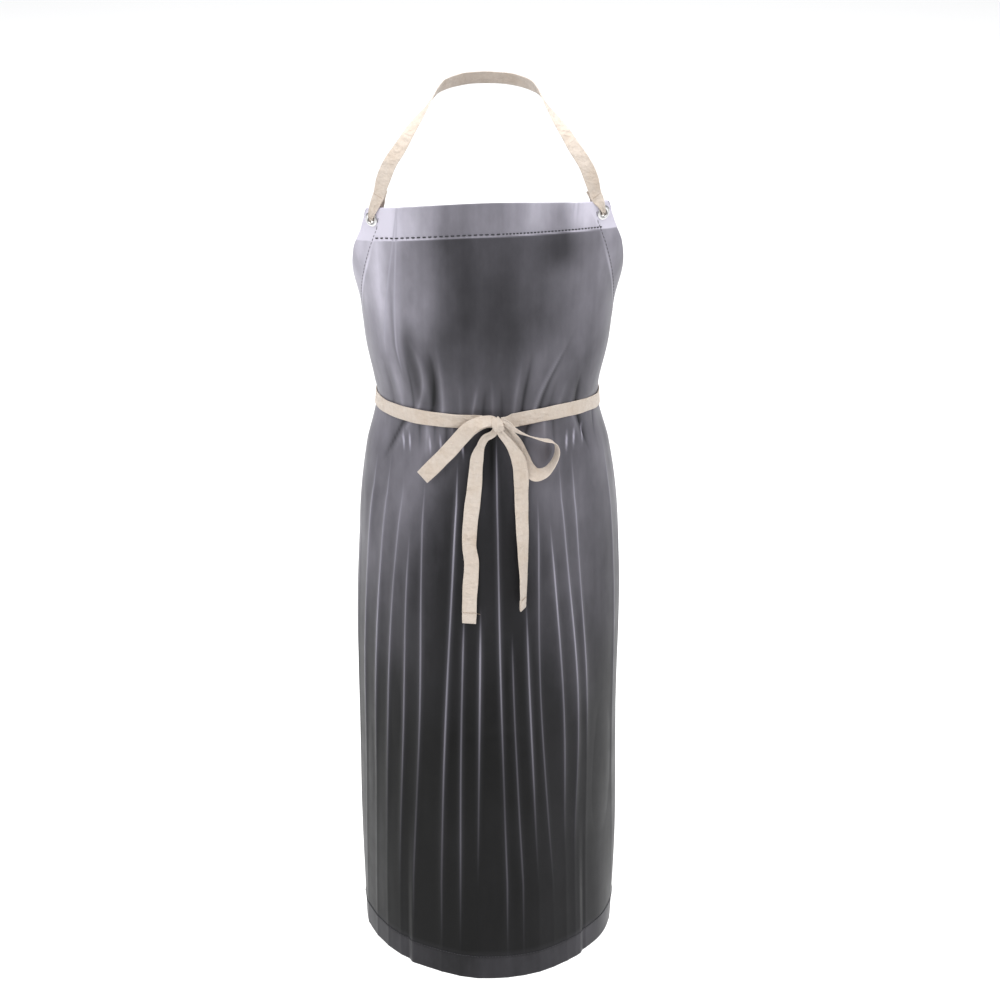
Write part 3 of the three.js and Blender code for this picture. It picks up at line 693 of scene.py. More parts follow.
# Soft patches of painted shade (darker) and painted light (paler): place across and down, half of the width
# and length (mm), shade.
PAINTED_SHADE_AND_LIGHT = [
    (-112, 240, 13, 62, -0.17), (-88, 262, 9, 45, -0.12), (-70, 110, 26, 60, 0.05), (88, 262, 10, 40, -0.05),
    (60, 330, 16, 30, -0.08), (142, 268, 14, 40, -0.05), (-150, 150, 8, 120, 0.05), (-132, 180, 4, 90, -0.07),
    (101, 34, 27, 58, -0.21), (92, 120, 30, 80, -0.05),
]


# How much paler the sheet is where it is doubled in each hem, and the top hem's right side again.
TOP_HEM_PALER, TOP_HEM_RIGHT_PALER = 0.21, 0.06
BOTTOM_HEM_PALER, SIDE_HEM_PALER, ARMHOLE_HEM_PALER = 0.12, 0.06, 0.05


def past(value, edge, blur=MM):
    """1 where a value is past an edge and 0 before it, with a narrow blur between."""
    return smoothstep(value, edge - blur, edge + blur)


def painted_shading_and_haze(across, down, folds):
    """How pale the sheet is: painted light and shade over it and on its folds, smoky in the middle, paler
    towards the sides; milkier where doubled.
    """
    side = np.abs(across)
    # Painted light and shade: paler up the bib and towards each side, darker down the skirt.
    middle, left, right, reach = (np.interp(down, PAINTED_LIGHT_STATIONS, values) for values in PAINTED_LIGHT_LEVELS.values())
    to_left = smoothstep(-across / (reach * MM), 0.2, 1)
    to_right = smoothstep(across / (reach * MM), 0.1, 0.7)
    haze_and_painted_light = middle + (left - middle) * to_left + (right - middle) * to_right
    # Painted light and shade on the folds: paler on their ridges, darker in their furrows.
    haze_and_painted_light += np.clip(46 * folds, -0.17, 0.2)
    # Soft patches of painted shade and painted light.
    for place, at, half_span, half_length, shade in np.array(PAINTED_SHADE_AND_LIGHT) * (MM, MM, MM, MM, 1):
        haze_and_painted_light += shade * np.exp(-(((across - place) / half_span) ** 2) - ((down - at) / half_length) ** 4)
    depth = top_hem_depth(across)
    top_hem_paler = TOP_HEM_PALER + TOP_HEM_RIGHT_PALER * smoothstep(across, 0, 60 * MM)
    haze_and_painted_light = haze_and_painted_light + (1 - past(down, depth, 0.8 * MM)) * top_hem_paler
    from_armhole = nearest_armhole(across, down)
    haze_and_painted_light += ARMHOLE_HEM_PALER * (1 - past(from_armhole, ARMHOLE_HEM))
    in_side_hem = past(side, HALF_CUT - SIDE_HEM) * smoothstep(down, ARMHOLE_DEPTH, ARMHOLE_DEPTH + 30 * MM)
    haze_and_painted_light += np.maximum(BOTTOM_HEM_PALER * past(down, BOTTOM_HEM_TOP), SIDE_HEM_PALER * in_side_hem)
    # A dark line of painted shade under the bottom hem's stitches.
    haze_and_painted_light -= 0.07 * line_glow(down - BOTTOM_HEM_TOP - SEAM_INSET, 1.6 * MM)
    haze_and_painted_light += 0.2 * line_glow(down - depth, 1.2 * MM) * smoothstep(-side, -165 * MM, -130 * MM)
    haze_and_painted_light += 0.12 * line_glow(from_armhole - ARMHOLE_HEM, 1.6 * MM) * smoothstep(down, 50 * MM, 90 * MM)
    return np.clip(haze_and_painted_light, 0, 1)


def sheet_columns():
    """Places across from -1 to 1, close together in front, where the flutes show."""
    share = np.linspace(-1, 1, 601)
    return np.sign(share) * (0.72 * np.abs(share) + 0.28 * np.abs(share) ** 3)


def sheet_rows():
    """Places down the sheet, closest together in the top hem and the bottom hem."""
    return np.concatenate([
        np.linspace(0, 60 * MM, 31)[:-1],
        np.linspace(60 * MM, ARMHOLE_DEPTH + 40 * MM, 91)[:-1],
        np.linspace(ARMHOLE_DEPTH + 40 * MM, BOTTOM_HEM_TOP, 120)[:-1],
        np.linspace(BOTTOM_HEM_TOP, CUT_LENGTH, 16),
    ])


def sheet_piece(name, across, down, out):
    """A patch of the sheet through a grid of places on it, pushed out by `out`."""
    height, crest, folds = relief(across, down)
    points = drape_plain(across, down, height + out)
    piece = new_object(name, points.reshape(-1, 3), grid_faces(*across.shape))
    store(piece, "haze_and_painted_light", painted_shading_and_haze(across, down, folds))
    store(piece, "crest", crest)
    return piece


def make_panel():
    down = sheet_rows()[:, None]
    across = sheet_columns()[None, :] * half_width(down)
    across, down = np.broadcast_arrays(across, down)
    panel = sheet_piece("sheet", across, down, np.zeros_like(across))
    punch(panel)
    thicken(panel, VINYL)
    return finished(panel, VINYL_LOOK, "vinyl", "apron_panel")


def punch(piece):
    """Takes away the faces inside each grommet's barrel. The flange covers the ragged edge."""
    points = np.array([v.co for v in piece.data.vertices])
    gone = np.zeros(len(points), bool)
    for across, down in (BIB_GROMMET, WAIST_GROMMET):
        for _, sign in SIDES:
            gone |= np.linalg.norm(points - sheet_place(sign * across, down), axis=1) < BARREL_REACH
    faces = [tuple(p.vertices) for p in piece.data.polygons]
    rebuild(piece, [f for f in faces if not any(gone[list(f)])])


def rebuild(piece, faces):
    """The piece with only these faces, and without the vertices that they leave over."""
    used = np.unique(np.array(faces))
    index = {old: new for new, old in enumerate(used)}
    values = {}
    for name in ("haze_and_painted_light", "crest"):
        stored = np.zeros(len(piece.data.vertices), np.float32)
        piece.data.attributes[name].data.foreach_get("value", stored)
        values[name] = stored[used]
    points = [tuple(piece.data.vertices[i].co) for i in used]
    mesh = bpy.data.meshes.new(piece.name)
    mesh.from_pydata(points, [], [[index[i] for i in f] for f in faces])
    mesh.polygons.foreach_set("use_smooth", [True] * len(mesh.polygons))
    piece.data = mesh
    for name, stored in values.items():
        store(piece, name, stored)


def make_hem(name, across, down, inset, layer, *nodes):
    """A turned-over edge: it rolls round from the sheet's edge (inset 0) and lies behind the sheet."""
    rolled = np.clip(inset / (1.6 * MM), 0, 1)
    out = -0.2 * MM - layer * 0.9 * MM * np.sin(rolled * math.pi / 2)
    hem = sheet_piece(name, across, down, out)
    punch(hem)
    thicken(hem, VINYL * 0.8)
    return finished(hem, VINYL_LOOK, "vinyl_hem", *nodes)


def hem_insets(depth, steps):
    return np.concatenate([[0, 0.4 * MM, 0.9 * MM, 1.6 * MM], np.linspace(1.6 * MM, depth, steps)[1:]])


def make_top_hem():
    inset = hem_insets(TOP_HEM, 14)[:, None]
    across = np.linspace(-1, 1, 200)[None, :] * half_width(inset)
    inset = np.broadcast_to(inset, across.shape)
    down = inset * top_hem_depth(across) / TOP_HEM
    return make_hem("top_hem_turned", across, down, inset, 1, "top_hem")


def make_bottom_hem():
    inset = hem_insets(BOTTOM_HEM, 10)[:, None]
    across = sheet_columns()[None, ::2] * HALF_CUT
    across, inset = np.broadcast_arrays(across, inset)
    return make_hem("bottom_hem_turned", across, CUT_LENGTH - inset, inset, 1, "bottom_hem")


def armhole_place(walked, inset, sign):
    """The place on the sheet inside an armhole's edge, at a distance along the edge and from it."""
    edge = np.stack([np.interp(walked, ARMHOLE_WALKED, ARMHOLE[:, k]) for k in (0, 1)], -1)
    along = np.stack([
        np.interp(walked, ARMHOLE_WALKED, np.gradient(ARMHOLE[:, k], ARMHOLE_WALKED)) for k in (0, 1)
    ], -1)
    across = edge[..., 0] - along[..., 1] * inset
    down = edge[..., 1] + along[..., 0] * inset
    top = np.clip(1 - walked / (20 * MM), 0, 1)
    return sign * across, down * (1 - top)


def make_armhole_hem(side, sign):
    inset = hem_insets(ARMHOLE_HEM, 8)[None, :]
    walked = np.linspace(0, ARMHOLE_WALKED[-1], 170)[:, None]
    walked, inset = np.broadcast_arrays(walked, inset)
    across, down = armhole_place(walked, inset, sign)
    name = f"armhole_hem_{side}"
    return make_hem(f"{name}_turned", across, down, inset, 1.8, name)


def make_side_hem(side, sign):
    inset = hem_insets(SIDE_HEM, 8)[None, :]
    down = np.linspace(ARMHOLE_DEPTH, CUT_LENGTH, 170)[:, None]
    down, inset = np.broadcast_arrays(down, inset)
    across = sign * (HALF_CUT - inset)
    name = f"side_hem_{side}"
    return make_hem(f"{name}_turned", across, down, inset, 1.4, name)


# ---- Stitches ----

def stitches(name, starts, middles, ends, out, thickness, look, slot, *nodes, body="apron"):
    """Stitches as short tapered threads, each from a start over a middle to an end."""
    sides = 6
    angles = np.linspace(0, 2 * math.pi, sides, endpoint=False)
    rings = [
        (starts - out * 0.25 * thickness, 0.35), (0.7 * starts + 0.3 * middles + out * 0.15 * thickness, 0.9),
        (middles + out * 0.3 * thickness, 1.0), (0.7 * ends + 0.3 * middles + out * 0.15 * thickness, 0.9),
        (ends - out * 0.25 * thickness, 0.35),
    ]
    along = unit(ends - starts)
    across = unit(np.cross(out, along))
    points, faces = [], []
    for centre, share in rings:
        ring = [
            centre + thickness / 2 * share * (math.cos(a) * across + math.sin(a) * out) for a in angles
        ]
        points.append(np.stack(ring, 1))
    points = np.stack(points, 1)
    per_stitch = len(rings) * sides
    for stitch in range(len(starts)):
        first = stitch * per_stitch
        faces += [tuple(first + i for i in f) for f in grid_faces(len(rings), sides, wrap=True)]
        faces.append(tuple(first + i for i in reversed(range(sides))))
        faces.append(tuple(first + per_stitch - sides + i for i in range(sides)))
    piece = new_object(name, points.reshape(-1, 3), faces)
    return finished(piece, look, slot, *nodes, body=body)


def seam(name, place, total, pitch, share, *nodes, thickness=0.8 * MM):
    """A row of stitches on the sheet. `place` turns distances along the seam into across and down."""
    distances = [0.0]
    while distances[-1] < total:
        here = distances[-1]
        distances.append(here + pitch(here))
    start = np.array(distances[:-1])
    length = np.diff(distances) * share
    outs = 0.45 * MM
    at = [drape(*place(start + length * k), outs) for k in (0, 0.5, 1)]
    across, down = place(start)
    behind = drape(across, down, -2 * MM)
    out = unit(at[0] - behind)
    return stitches(name, *at, out, thickness, SEAM_LOOK, "seam_thread", *nodes)


# The distance from one stitch to the next. The top hem's are longer on the left than on the right.
LONG_TOP_PITCH, SHORT_TOP_PITCH = 7.5 * MM, 4.6 * MM
BOTTOM_PITCH, EDGE_PITCH = 4.2 * MM, 6.3 * MM


def make_top_seam():
    half = BIB_TOP_HALF + 20 * MM - ARMHOLE_HEM - 2 * MM

    def place(distance):
        across = distance - half
        return across, top_hem_depth(across) - SEAM_INSET

    def pitch(distance):
        return LONG_TOP_PITCH if distance < 1.1 * half else SHORT_TOP_PITCH

    seam("top_hem_stitches", place, 2 * half, pitch, 0.7, "top_hem_stitching", thickness=1.9 * MM)


def make_bottom_seam():
    def place(distance):
        across = distance - HALF_CUT + 4 * MM
        return across, np.full_like(across, BOTTOM_HEM_TOP + SEAM_INSET)

    seam(
        "bottom_hem_stitches", place, CUT_WIDTH - 8 * MM, lambda _: BOTTOM_PITCH, 0.86,
        "bottom_hem_stitching", thickness=1.4 * MM,
    )


def make_edge_seams(side, sign):
    """The seams of one armhole's hem and of the side hem below it."""
    def armhole_line(distance):
        return armhole_place(distance + 12 * MM, ARMHOLE_HEM - SEAM_INSET, sign)

    def side_line(distance):
        edge = sign * (HALF_CUT - SIDE_HEM + SEAM_INSET)
        return np.full_like(distance, edge), distance + ARMHOLE_DEPTH + ARMHOLE_HEM + 2 * MM

    armhole_length = ARMHOLE_WALKED[-1] - 16 * MM
    side_length = BOTTOM_HEM_TOP - ARMHOLE_DEPTH - ARMHOLE_HEM - 4 * MM
    for edge, line, length in (("armhole", armhole_line, armhole_length), ("side", side_line, side_length)):
        node = f"{edge}_stitching_{side}"
        seam(f"{edge}_stitches_{side}", line, length, lambda _: EDGE_PITCH, 0.7, node)


# ---- Grommets ----

def grommet_frame(sign, place):
    """Where a grommet sits, the way it faces, and two directions on the sheet there."""
    across, down = sign * place[0], place[1]
    reach = 6 * MM
    right = unit(sheet_place(across + reach, down) - sheet_place(across - reach, down))
    below = sheet_place(across, down + reach) - sheet_place(across, down - reach)
    facing = unit(np.cross(below, right))
    centre = sheet_place(across, down)
    return {"centre": centre, "facing": facing, "right": right, "up": np.cross(facing, right)}


def turned(name, profile, grommet, look, slot, node):
    """A closed ring turned from a closed profile of (radius, height) points in mm."""
    sides = 56
    angles = np.linspace(0, 2 * math.pi, sides, endpoint=False)
    radius, height = np.array(profile).T * MM
    points = (
        grommet["centre"]
        + radius[None, :, None] * (
            np.cos(angles)[:, None, None] * grommet["right"] + np.sin(angles)[:, None, None] * grommet["up"]
        )
        + height[None, :, None] * grommet["facing"]
    )
    piece = new_object(name, points.reshape(-1, 3), closed_faces(sides, len(profile), wrap=True))
    rounding = piece.modifiers.new("round", "SUBSURF")
    rounding.levels = rounding.render_levels = 1
    apply_modifiers(piece)
    return finished(piece, look, slot, node)


def make_grommet(place, side, grommet):
    back = -GROMMET_STACK / MM - 2.4
    profile = [
        (5.0, back - 1.1), (6.0, back - 1.5), (7.3, back - 1.0), (7.6, back - 0.3), (5.7, back - 0.3),
        (5.6, 0.4), (6.0, 0.75), (9.6, 0.75), (10.0, 1.0), (9.7, 1.5), (8.4, 2.0), (6.8, 2.1),
        (5.6, 1.8), (5.0, 1.1),
    ]
    node = f"{place}_grommet_{side}"
    turned(f"{node}_nickel", profile, grommet, NICKEL_LOOK, "nickel", node)
    front = -GROMMET_STACK / MM - 1.4
    washer = [(5.9, front - 0.8), (9.3, front - 0.8), (10.0, front - 0.2), (10.0, front), (5.9, front)]
    node = f"{place}_washer_{side}"
    turned(f"{node}_nickel", washer, grommet, NICKEL_LOOK, "nickel", node)


# ---- Tapes ----

def section_of_tape():
    """The tape's cross-section: shares of its half width and half thickness, with fuller selvedges."""
    top = [(-1, 0.35), (-0.97, 0.95), (-0.88, 1.1), (-0.72, 0.95), (-0.36, 1.0), (0, 1.02)]
    top += [(-s, h) for s, h in reversed(top[:-1])]
    bottom = [(s, -h) for s, h in reversed(top)]
    return np.array(top + bottom)


def tape_length(points):
    return float(np.linalg.norm(np.diff(points, axis=0), axis=1).sum())


def sweep_tape(name, points, across, widths, spacing=1.6 * MM, thickness=TAPE_THICKNESS):
    """A woven tape along points, lying along the `across` direction at each, with its flat length."""
    points, across, widths = np.array(points), np.array(across), np.array(widths, float)
    knots = np.concatenate([[0], np.cumsum(np.linalg.norm(np.diff(points, axis=0), axis=1) ** 0.5)])
    dense = np.linspace(0, knots[-1], 40 * len(points))
    walked = np.linalg.norm(np.diff(smooth_through(knots, points, dense), axis=0), axis=1)
    walked = np.concatenate([[0], np.cumsum(walked)])
    steps = max(int(walked[-1] / spacing), 8)
    along_at = np.linspace(0, walked[-1], steps + 1)
    at = np.interp(along_at, walked, dense)
    middle = smooth_through(knots, points, at)
    tangent = unit(np.gradient(middle, axis=0))
    side = smooth_through(knots, across, at)
    side = unit(side - tangent * (side * tangent).sum(-1, keepdims=True))
    normal = np.cross(side, tangent)
    width = np.interp(at, knots, widths)
    phase = random.uniform(0, 6, 3)
    width = width * (1 + 0.03 * np.sin(along_at / (17 * MM) + phase[0]) + 0.015 * np.sin(along_at / (6 * MM)))
    section = section_of_tape()
    squeeze = np.clip(TAPE_WIDTH / width, 1, 2.4)
    cup = 1.3 * MM * (squeeze - 1)
    slow_wave, quick_wave = (np.sin(along_at / (pitch * MM) + at) for pitch, at in zip((23, 9), phase[1:]))
    lift = TAPE_WOBBLE * (slow_wave + 0.6 * quick_wave)
    s, h = section[:, 0], section[:, 1]
    folds = np.cos(s[None, :] * 5.0 + phase[2] + along_at[:, None] / (60 * MM)) * cup[:, None]
    rise = h[None, :] * thickness / 2 * squeeze[:, None] ** 0.5 + lift[:, None] + folds
    mesh_points = (
        middle[:, None, :]
        + side[:, None, :] * (s[None, :] * width[:, None] / 2)[..., None]
        + normal[:, None, :] * rise[..., None]
    )
    rows, columns = mesh_points.shape[:2]
    faces = grid_faces(rows, columns, wrap=True)
    faces.append(tuple(reversed(range(columns))))
    faces.append(tuple((rows - 1) * columns + i for i in range(columns)))
    piece = new_object(name, mesh_points.reshape(-1, 3), faces)
    lay_out_weave(piece, np.broadcast_to(s * TAPE_WIDTH / 2, (rows, columns)), along_at)
    piece["flat_length"] = tape_length(middle)
    return piece


def lay_out_weave(piece, across, along):
    """Stores each point's place on the flat tape, in metres, for the weave."""
    u = across.ravel()
    v = np.repeat(along, across.shape[1])
    layer = piece.data.uv_layers.new(name="tape")
    loops = np.zeros(len(piece.data.loops), int)
    piece.data.loops.foreach_get("vertex_index", loops)
    layer.data.foreach_set("uv", np.stack([u[loops], v[loops]], 1).ravel())


def lying(route):
    """Points of a tape on the girth from (arc, z, out, width, turn) in mm and degrees."""
    arc, z, out, width, turn = np.array(route, float).T
    arc, z, out = arc * MM, z * MM, out * MM
    points = around(z, arc, out)
    facing = surface_facing(z, arc)
    along = unit(np.gradient(points, axis=0))
    flat = np.cross(facing, along)
    turn = np.radians(turn)[:, None]
    across = flat * np.cos(turn) + np.cross(along, flat) * np.sin(turn)
    return points, steadied(across), width * MM


def steadied(across):
    """The directions, each on the same side as the one before it, which a tape's sharp fold copies."""
    steady = [unit(across[0])]
    for direction in across[1:]:
        lying_flat = np.linalg.norm(direction) > 0.6
        direction = unit(direction) if lying_flat else steady[-1]
        steady.append(direction * (1 if direction @ steady[-1] >= 0 else -1))
    return np.array(steady)


def end_loop(grommet, end):
    """The end of a tape from `end` down in front of the sheet, through the grommet and up behind."""
    way = end - grommet["centre"]
    length = np.linalg.norm(way) / MM
    way = unit(way)
    out = unit(grommet["facing"] - way * (grommet["facing"] @ way))
    rear = GROMMET_STACK / MM + 5.4
    stops = [
        (length - 1, 1.0, 18.5), (length * 0.72, 2.4, 17), (14, 4.0, 13), (6, 4.0, 9.5), (1.8, 3.1, 8),
        (0.2, 1, 7.2), (0.2, 1 - rear / 2, 7), (0.4, 1.6 - rear, 7.5), (4, 0.6 - rear, 9.5),
        (11, 0.4 - rear, 13), (length * 0.72, -rear * 0.55, 17), (length - 1, -1.4, 18.5),
        (length + 9, -1.3, 19),
    ]
    points = [grommet["centre"] + (way * along + out * height) * MM for along, height, _ in stops]
    across = [np.cross(way, out)] * len(stops)
    return points, across, [width * MM for _, _, width in stops]


def backwards(points, across, widths):
    return list(points)[::-1], [-a for a in list(across)[::-1]], list(widths)[::-1]


# Half of the neck strap's middle line from its end over the collar, with the way it faces (mm).
STRAP_ROUTE = [
    ((136.5, -87.5, -86), (0.48, -0.86, 0.15)),
    ((127, -86.5, -63), (0.45, -0.84, 0.3)),
    ((113, -81, -42), (0.5, -0.76, 0.42)),
    ((99, -68, -22), (0.62, -0.6, 0.5)),
    ((86, -47, -7), (0.76, -0.4, 0.5)),
    ((76, -22, 1), (0.86, -0.15, 0.48)),
    ((69, 8, 4), (0.88, 0.16, 0.44)),
    ((58, 40, 5), (0.74, 0.54, 0.4)),
    ((34, 67, 5), (0.42, 0.82, 0.38)),
    ((0, 77, 5), (0, 0.93, 0.36)),
]


def make_neck_strap(grommets):
    """One tape: sewn end, through the left grommet, round the neck, and through the right grommet."""
    half = [(np.array(p) * MM, np.array(f)) for p, f in STRAP_ROUTE]
    flip = np.array([-1, 1, 1])
    route = [(p * flip, f * flip) for p, f in half[:-1]] + half[::-1]
    points = np.array([p for p, _ in route])
    facing = np.array([f for _, f in route])
    across = unit(np.cross(facing, unit(np.gradient(points, axis=0))))
    left = backwards(*end_loop(grommets["bib", "left"], STRAP_END * flip))
    right = end_loop(grommets["bib", "right"], STRAP_END)
    points = [*left[0], *points, *right[0]]
    across = [*left[1], *across, *right[1]]
    widths = [*left[2], *[TAPE_WIDTH] * len(route), *right[2]]
    strap = sweep_tape("neck_tape", points, across, widths)
    nodes = ("neck_strap", "strap_loop_left", "strap_loop_right")
    finished(strap, COTTON_LOOK, "cotton_tape", *nodes, body=None)
    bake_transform(strap)
    for side, sign in SIDES:
        end = STRAP_END * np.array([sign, 1, 1])
        make_bartack("strap", side, grommets["bib", side], end)


def make_bartack(name, side, grommet, end):
    """Two short rows of stitches that close an end loop."""
    way = unit(end - grommet["centre"])
    out = unit(grommet["facing"] - way * (grommet["facing"] @ way))
    across = np.cross(way, out)
    starts, middles, ends = [], [], []
    for row in (-7.0, -3.0):
        for step in np.arange(-7, 7, 2.1):
            base = end + (way * row + out * 1.75) * MM
            starts.append(base + across * step * MM)
            middles.append(base + across * (step + 0.8) * MM)
            ends.append(base + across * (step + 1.6) * MM)
    outs = np.broadcast_to(out, (len(starts), 3))
    node = f"{name}_bartack_{side}"
    stitches(
        f"{node}_stitches", np.array(starts), np.array(middles), np.array(ends), outs, 0.7 * MM,
        TAPE_THREAD_LOOK, "tape_thread", node,
    )


def tie_start(side, sign, grommets):
    gathered = WAIST_GROMMET[0] * smooth_through(GATHER[:, 0], GATHER[:, 1], np.array(WAIST_GROMMET[1]))
    return sign * (gathered + 30 * MM), grommets["waist", side]["centre"][2]


def make_waist_tie(side, sign, lift, rise, grommets):
    """From its grommet across the back, past the other tie, and round to the knot at the front."""
    start_arc, start_z = tie_start(side, sign, grommets)
    around_half = float(np.interp(start_z, HEIGHTS, RING_LENGTHS))
    stop = KNOT_ARC - sign * (KNOT_WIDTH / 2 - 2 * MM)
    length = 2 * around_half - abs(start_arc) + sign * stop
    crossing = around_half - abs(start_arc)
    dip, rise_length = 13 * MM, 160 * MM
    walked = np.linspace(6 * MM, length, 60)
    sideways = np.clip((walked - crossing) / crossing, -1, 1)
    settled = smoothstep(walked, 2.4 * crossing, length * 0.7)
    bow = np.sin(math.pi * np.clip((length - walked) / rise_length, 0, 1))
    z = (start_z - dip - dip * sideways) * (1 - settled) + WAIST_Z * settled + rise * MM * bow
    raised = lift * (1 - smoothstep(walked, crossing * 3, length * 0.6))
    width = np.full_like(walked, TAPE_WIDTH / MM)
    width = np.where(length - walked < 8 * MM, 14, width)
    route = np.stack([
        (start_arc + sign * walked) / MM, z / MM, BELT_OUT / MM + raised, width, np.zeros_like(walked),
    ], 1)
    points, across, widths = lying(route)
    end = around(start_z, start_arc, BELT_OUT + lift * MM)
    loop = backwards(*end_loop(grommets["waist", side], end))
    if np.dot(loop[1][-1], across[0]) < 0:
        loop = (loop[0], [-a for a in loop[1]], loop[2])
    tie = sweep_tape(
        f"waist_tape_{side}", [*loop[0], *points], [*loop[1], *across], [*loop[2], *widths], spacing=2.2 * MM
    )
    finished(tie, COTTON_LOOK, "cotton_tape", f"waist_tie_{side}", f"tie_loop_{side}")
    make_bartack("tie", side, grommets["waist", side], end)


# The bow's loops and tails: (arc, height, distance out, width, turn), in mm and degrees.
LOOP_LEFT = [
    (9, -411, 9, 13, 0), (3, -408.5, 12, 15, 38), (-9, -409, 17, 18, 42), (-20, -416, 16.5, 20, 18),
    (-29, -426, 15, 21, 0), (-48, -451, 12, 21, 0), (-68, -475, 10, 21, 0), (-82, -490.5, 9.2, 21, 0),
    (-86.5, -495.5, 7.2, 21, 0), (-82, -490.5, 5, 21, 0), (-67, -474, 4.6, 21, 0), (-47, -451, 4.8, 20, 0),
    (-26, -428, 5.2, 18, 0),
    (-10, -417, 6, 15, 0), (3, -413, 7.5, 13, 0), (9, -413, 8, 12, 0),
]
LOOP_RIGHT = [
    (17, -411, 11, 10, 15), (24, -412, 13, 10, 30), (34, -421, 15, 13, 55), (50, -430, 16, 18, 74),
    (68, -437, 17, 20, 86), (83, -442, 17, 20, 92), (89, -452, 16, 20, 97), (88, -465, 15, 20, 94),
    (81, -478, 14, 20, 85), (73, -486, 12, 20, 66), (63, -489, 6.5, 20, 26), (54, -480, 4.6, 18, 2),
    (47, -463, 4.4, 16, 0), (38, -443, 4.4, 14, 0), (29, -429, 4.8, 10, 0), (20, -418, 7, 9, 0),
]
TAIL_LEFT = [
    (12, -420, 9, 9, 0), (7, -428, 9.5, 10, 0), (-3, -434, 9.8, 11, 0), (-9, -446, 8.4, 11, 0),
    (-14, -465, 6.4, 18, 0), (-17.5, -506, 4.4, 20, 0), (-23, -555, 3.6, 20, 0), (-24.5, -588, 3.8, 20, 0),
    (-21.5, -613, 3.8, 20, 0), (-24, -658, 3.8, 20, 0), (-25, -699, 3.8, 20, 0),
]
TAIL_RIGHT = [
    (13, -419, 10.5, 9, 0), (18, -428, 12, 10, 0), (25, -437, 12.8, 12, 0), (32, -448, 12.8, 14, 0),
    (40, -466, 11.8, 19, 0), (43.5, -490, 9.6, 20, 0), (44.5, -520, 6.2, 20, -8), (46, -580, 8.4, 20, -30),
    (46.5, -636, 10.4, 20, -48), (46.5, -677, 11, 20, -58),
]


def make_tail(side, route):
    """A tail with its end folded back behind it and sewn."""
    points, across, widths = lying(route)
    last, before = points[-1], points[-2]
    way = unit(before - last)
    behind = np.cross(way, across[-1])
    behind = behind * np.sign(behind[1])
    fold = [(0.4, 0.7), (1.5, 1.4), (15, 1.5)]
    points = [*points, *[last + way * up * MM + behind * back * MM for up, back in fold]]
    across = [*across, *[across[-1]] * len(fold)]
    widths = [*widths, *[TAPE_WIDTH * 0.985] * len(fold)]
    body = f"tail_{side}"
    tail = sweep_tape(f"{body}_tape", points, across, widths, thickness=0.9 * MM)
    finished(tail, COTTON_LOOK, "cotton_tape", f"tie_tail_{side}", body=None)
    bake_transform(tail)
    steps = np.arange(-8.5, 8.5, 2.0)
    base = last + way * 15 * MM - behind * 0.75 * MM
    at = [
        np.array([base + across[-1] * (step + shift) * MM for step in steps])
        for shift in (0, 0.75, 1.5)
    ]
    outs = np.broadcast_to(-behind, (len(steps), 3))
    node = f"tail_hem_stitching_{side}"
    seam_piece = stitches(
        f"tail_stitches_{side}", *at, outs, 0.9 * MM, TAPE_THREAD_LOOK, "tape_thread", node, body=body
    )
    loose_end(side, at[2][-1], across[-1], body)


def loose_end(side, place, direction, body):
    """A thread's loose end at the side of the tail's seam."""
    t = np.linspace(0, 1, 5)[:, None]
    curl = place + direction * t * 6 * MM + np.array([0, -0.4, -1.5]) * MM * t**2
    outs = np.broadcast_to([0.0, -1.0, 0.0], (len(curl) - 1, 3))
    middles = (curl[:-1] + curl[1:]) / 2
    stitches(
        f"loose_thread_{side}", curl[:-1], middles, curl[1:], outs, 0.4 * MM, TAPE_THREAD_LOOK,
        "tape_thread", body=body,
    )


def make_loop(side, route):
    piece = sweep_tape(f"bow_loop_{side}_tape", *lying(route), spacing=1.3 * MM)
    body = f"bow_loop_{side}"
    finished(piece, COTTON_LOOK, "cotton_tape", body, body=None)
    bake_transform(piece)


def make_knot():
    """The tape wrapped round the bow's middle: a crowned band with creases along it."""
    rows, columns = 72, 41
    turn = np.linspace(0, 2 * math.pi, rows, endpoint=False)[:, None]
    share = np.linspace(-1, 1, columns)[None, :]
    centre, facing = on_girth(np.array(WAIST_Z), np.array(KNOT_ARC))
    centre = centre + facing * KNOT_OUT
    sideways = np.cross([0, 0, 1], facing) * -1
    crown = 1 - 0.34 * share**4 - 0.10 * share**2
    creases = 0.11 * np.cos(7.5 * share + 1.5 * np.sin(turn) + 0.8) * (1 - share**2)
    creases = creases - 0.12 * np.exp(-(((share - 0.25 - 0.2 * np.sin(turn)) / 0.13) ** 2))
    radius = crown + creases
    depth, height = 6.3 * MM, 11.0 * MM
    half = KNOT_WIDTH / 2 * (1 - 0.12 * np.abs(np.sin(turn)))
    slant = 1.6 * MM * np.sin(turn)
    points = (
        centre
        + (radius * np.cos(turn) * depth)[..., None] * facing
        + (radius * np.sin(turn) * height)[..., None] * np.array([0, 0, 1])
        + (half * share + slant)[..., None] * sideways
    )
    across = np.broadcast_to(share * TAPE_WIDTH / 2, (rows, columns))
    faces = closed_faces(rows, columns)
    faces.append(tuple(r * columns for r in range(rows)))
    faces.append(tuple(r * columns + columns - 1 for r in reversed(range(rows))))
    piece = new_object("bow_knot_tape", points.reshape(-1, 3), faces)
    lay_out_weave(piece, across, np.linspace(0, 60 * MM, rows))
    finished(piece, COTTON_LOOK, "cotton_tape", "bow_knot")


# ---- The object ----

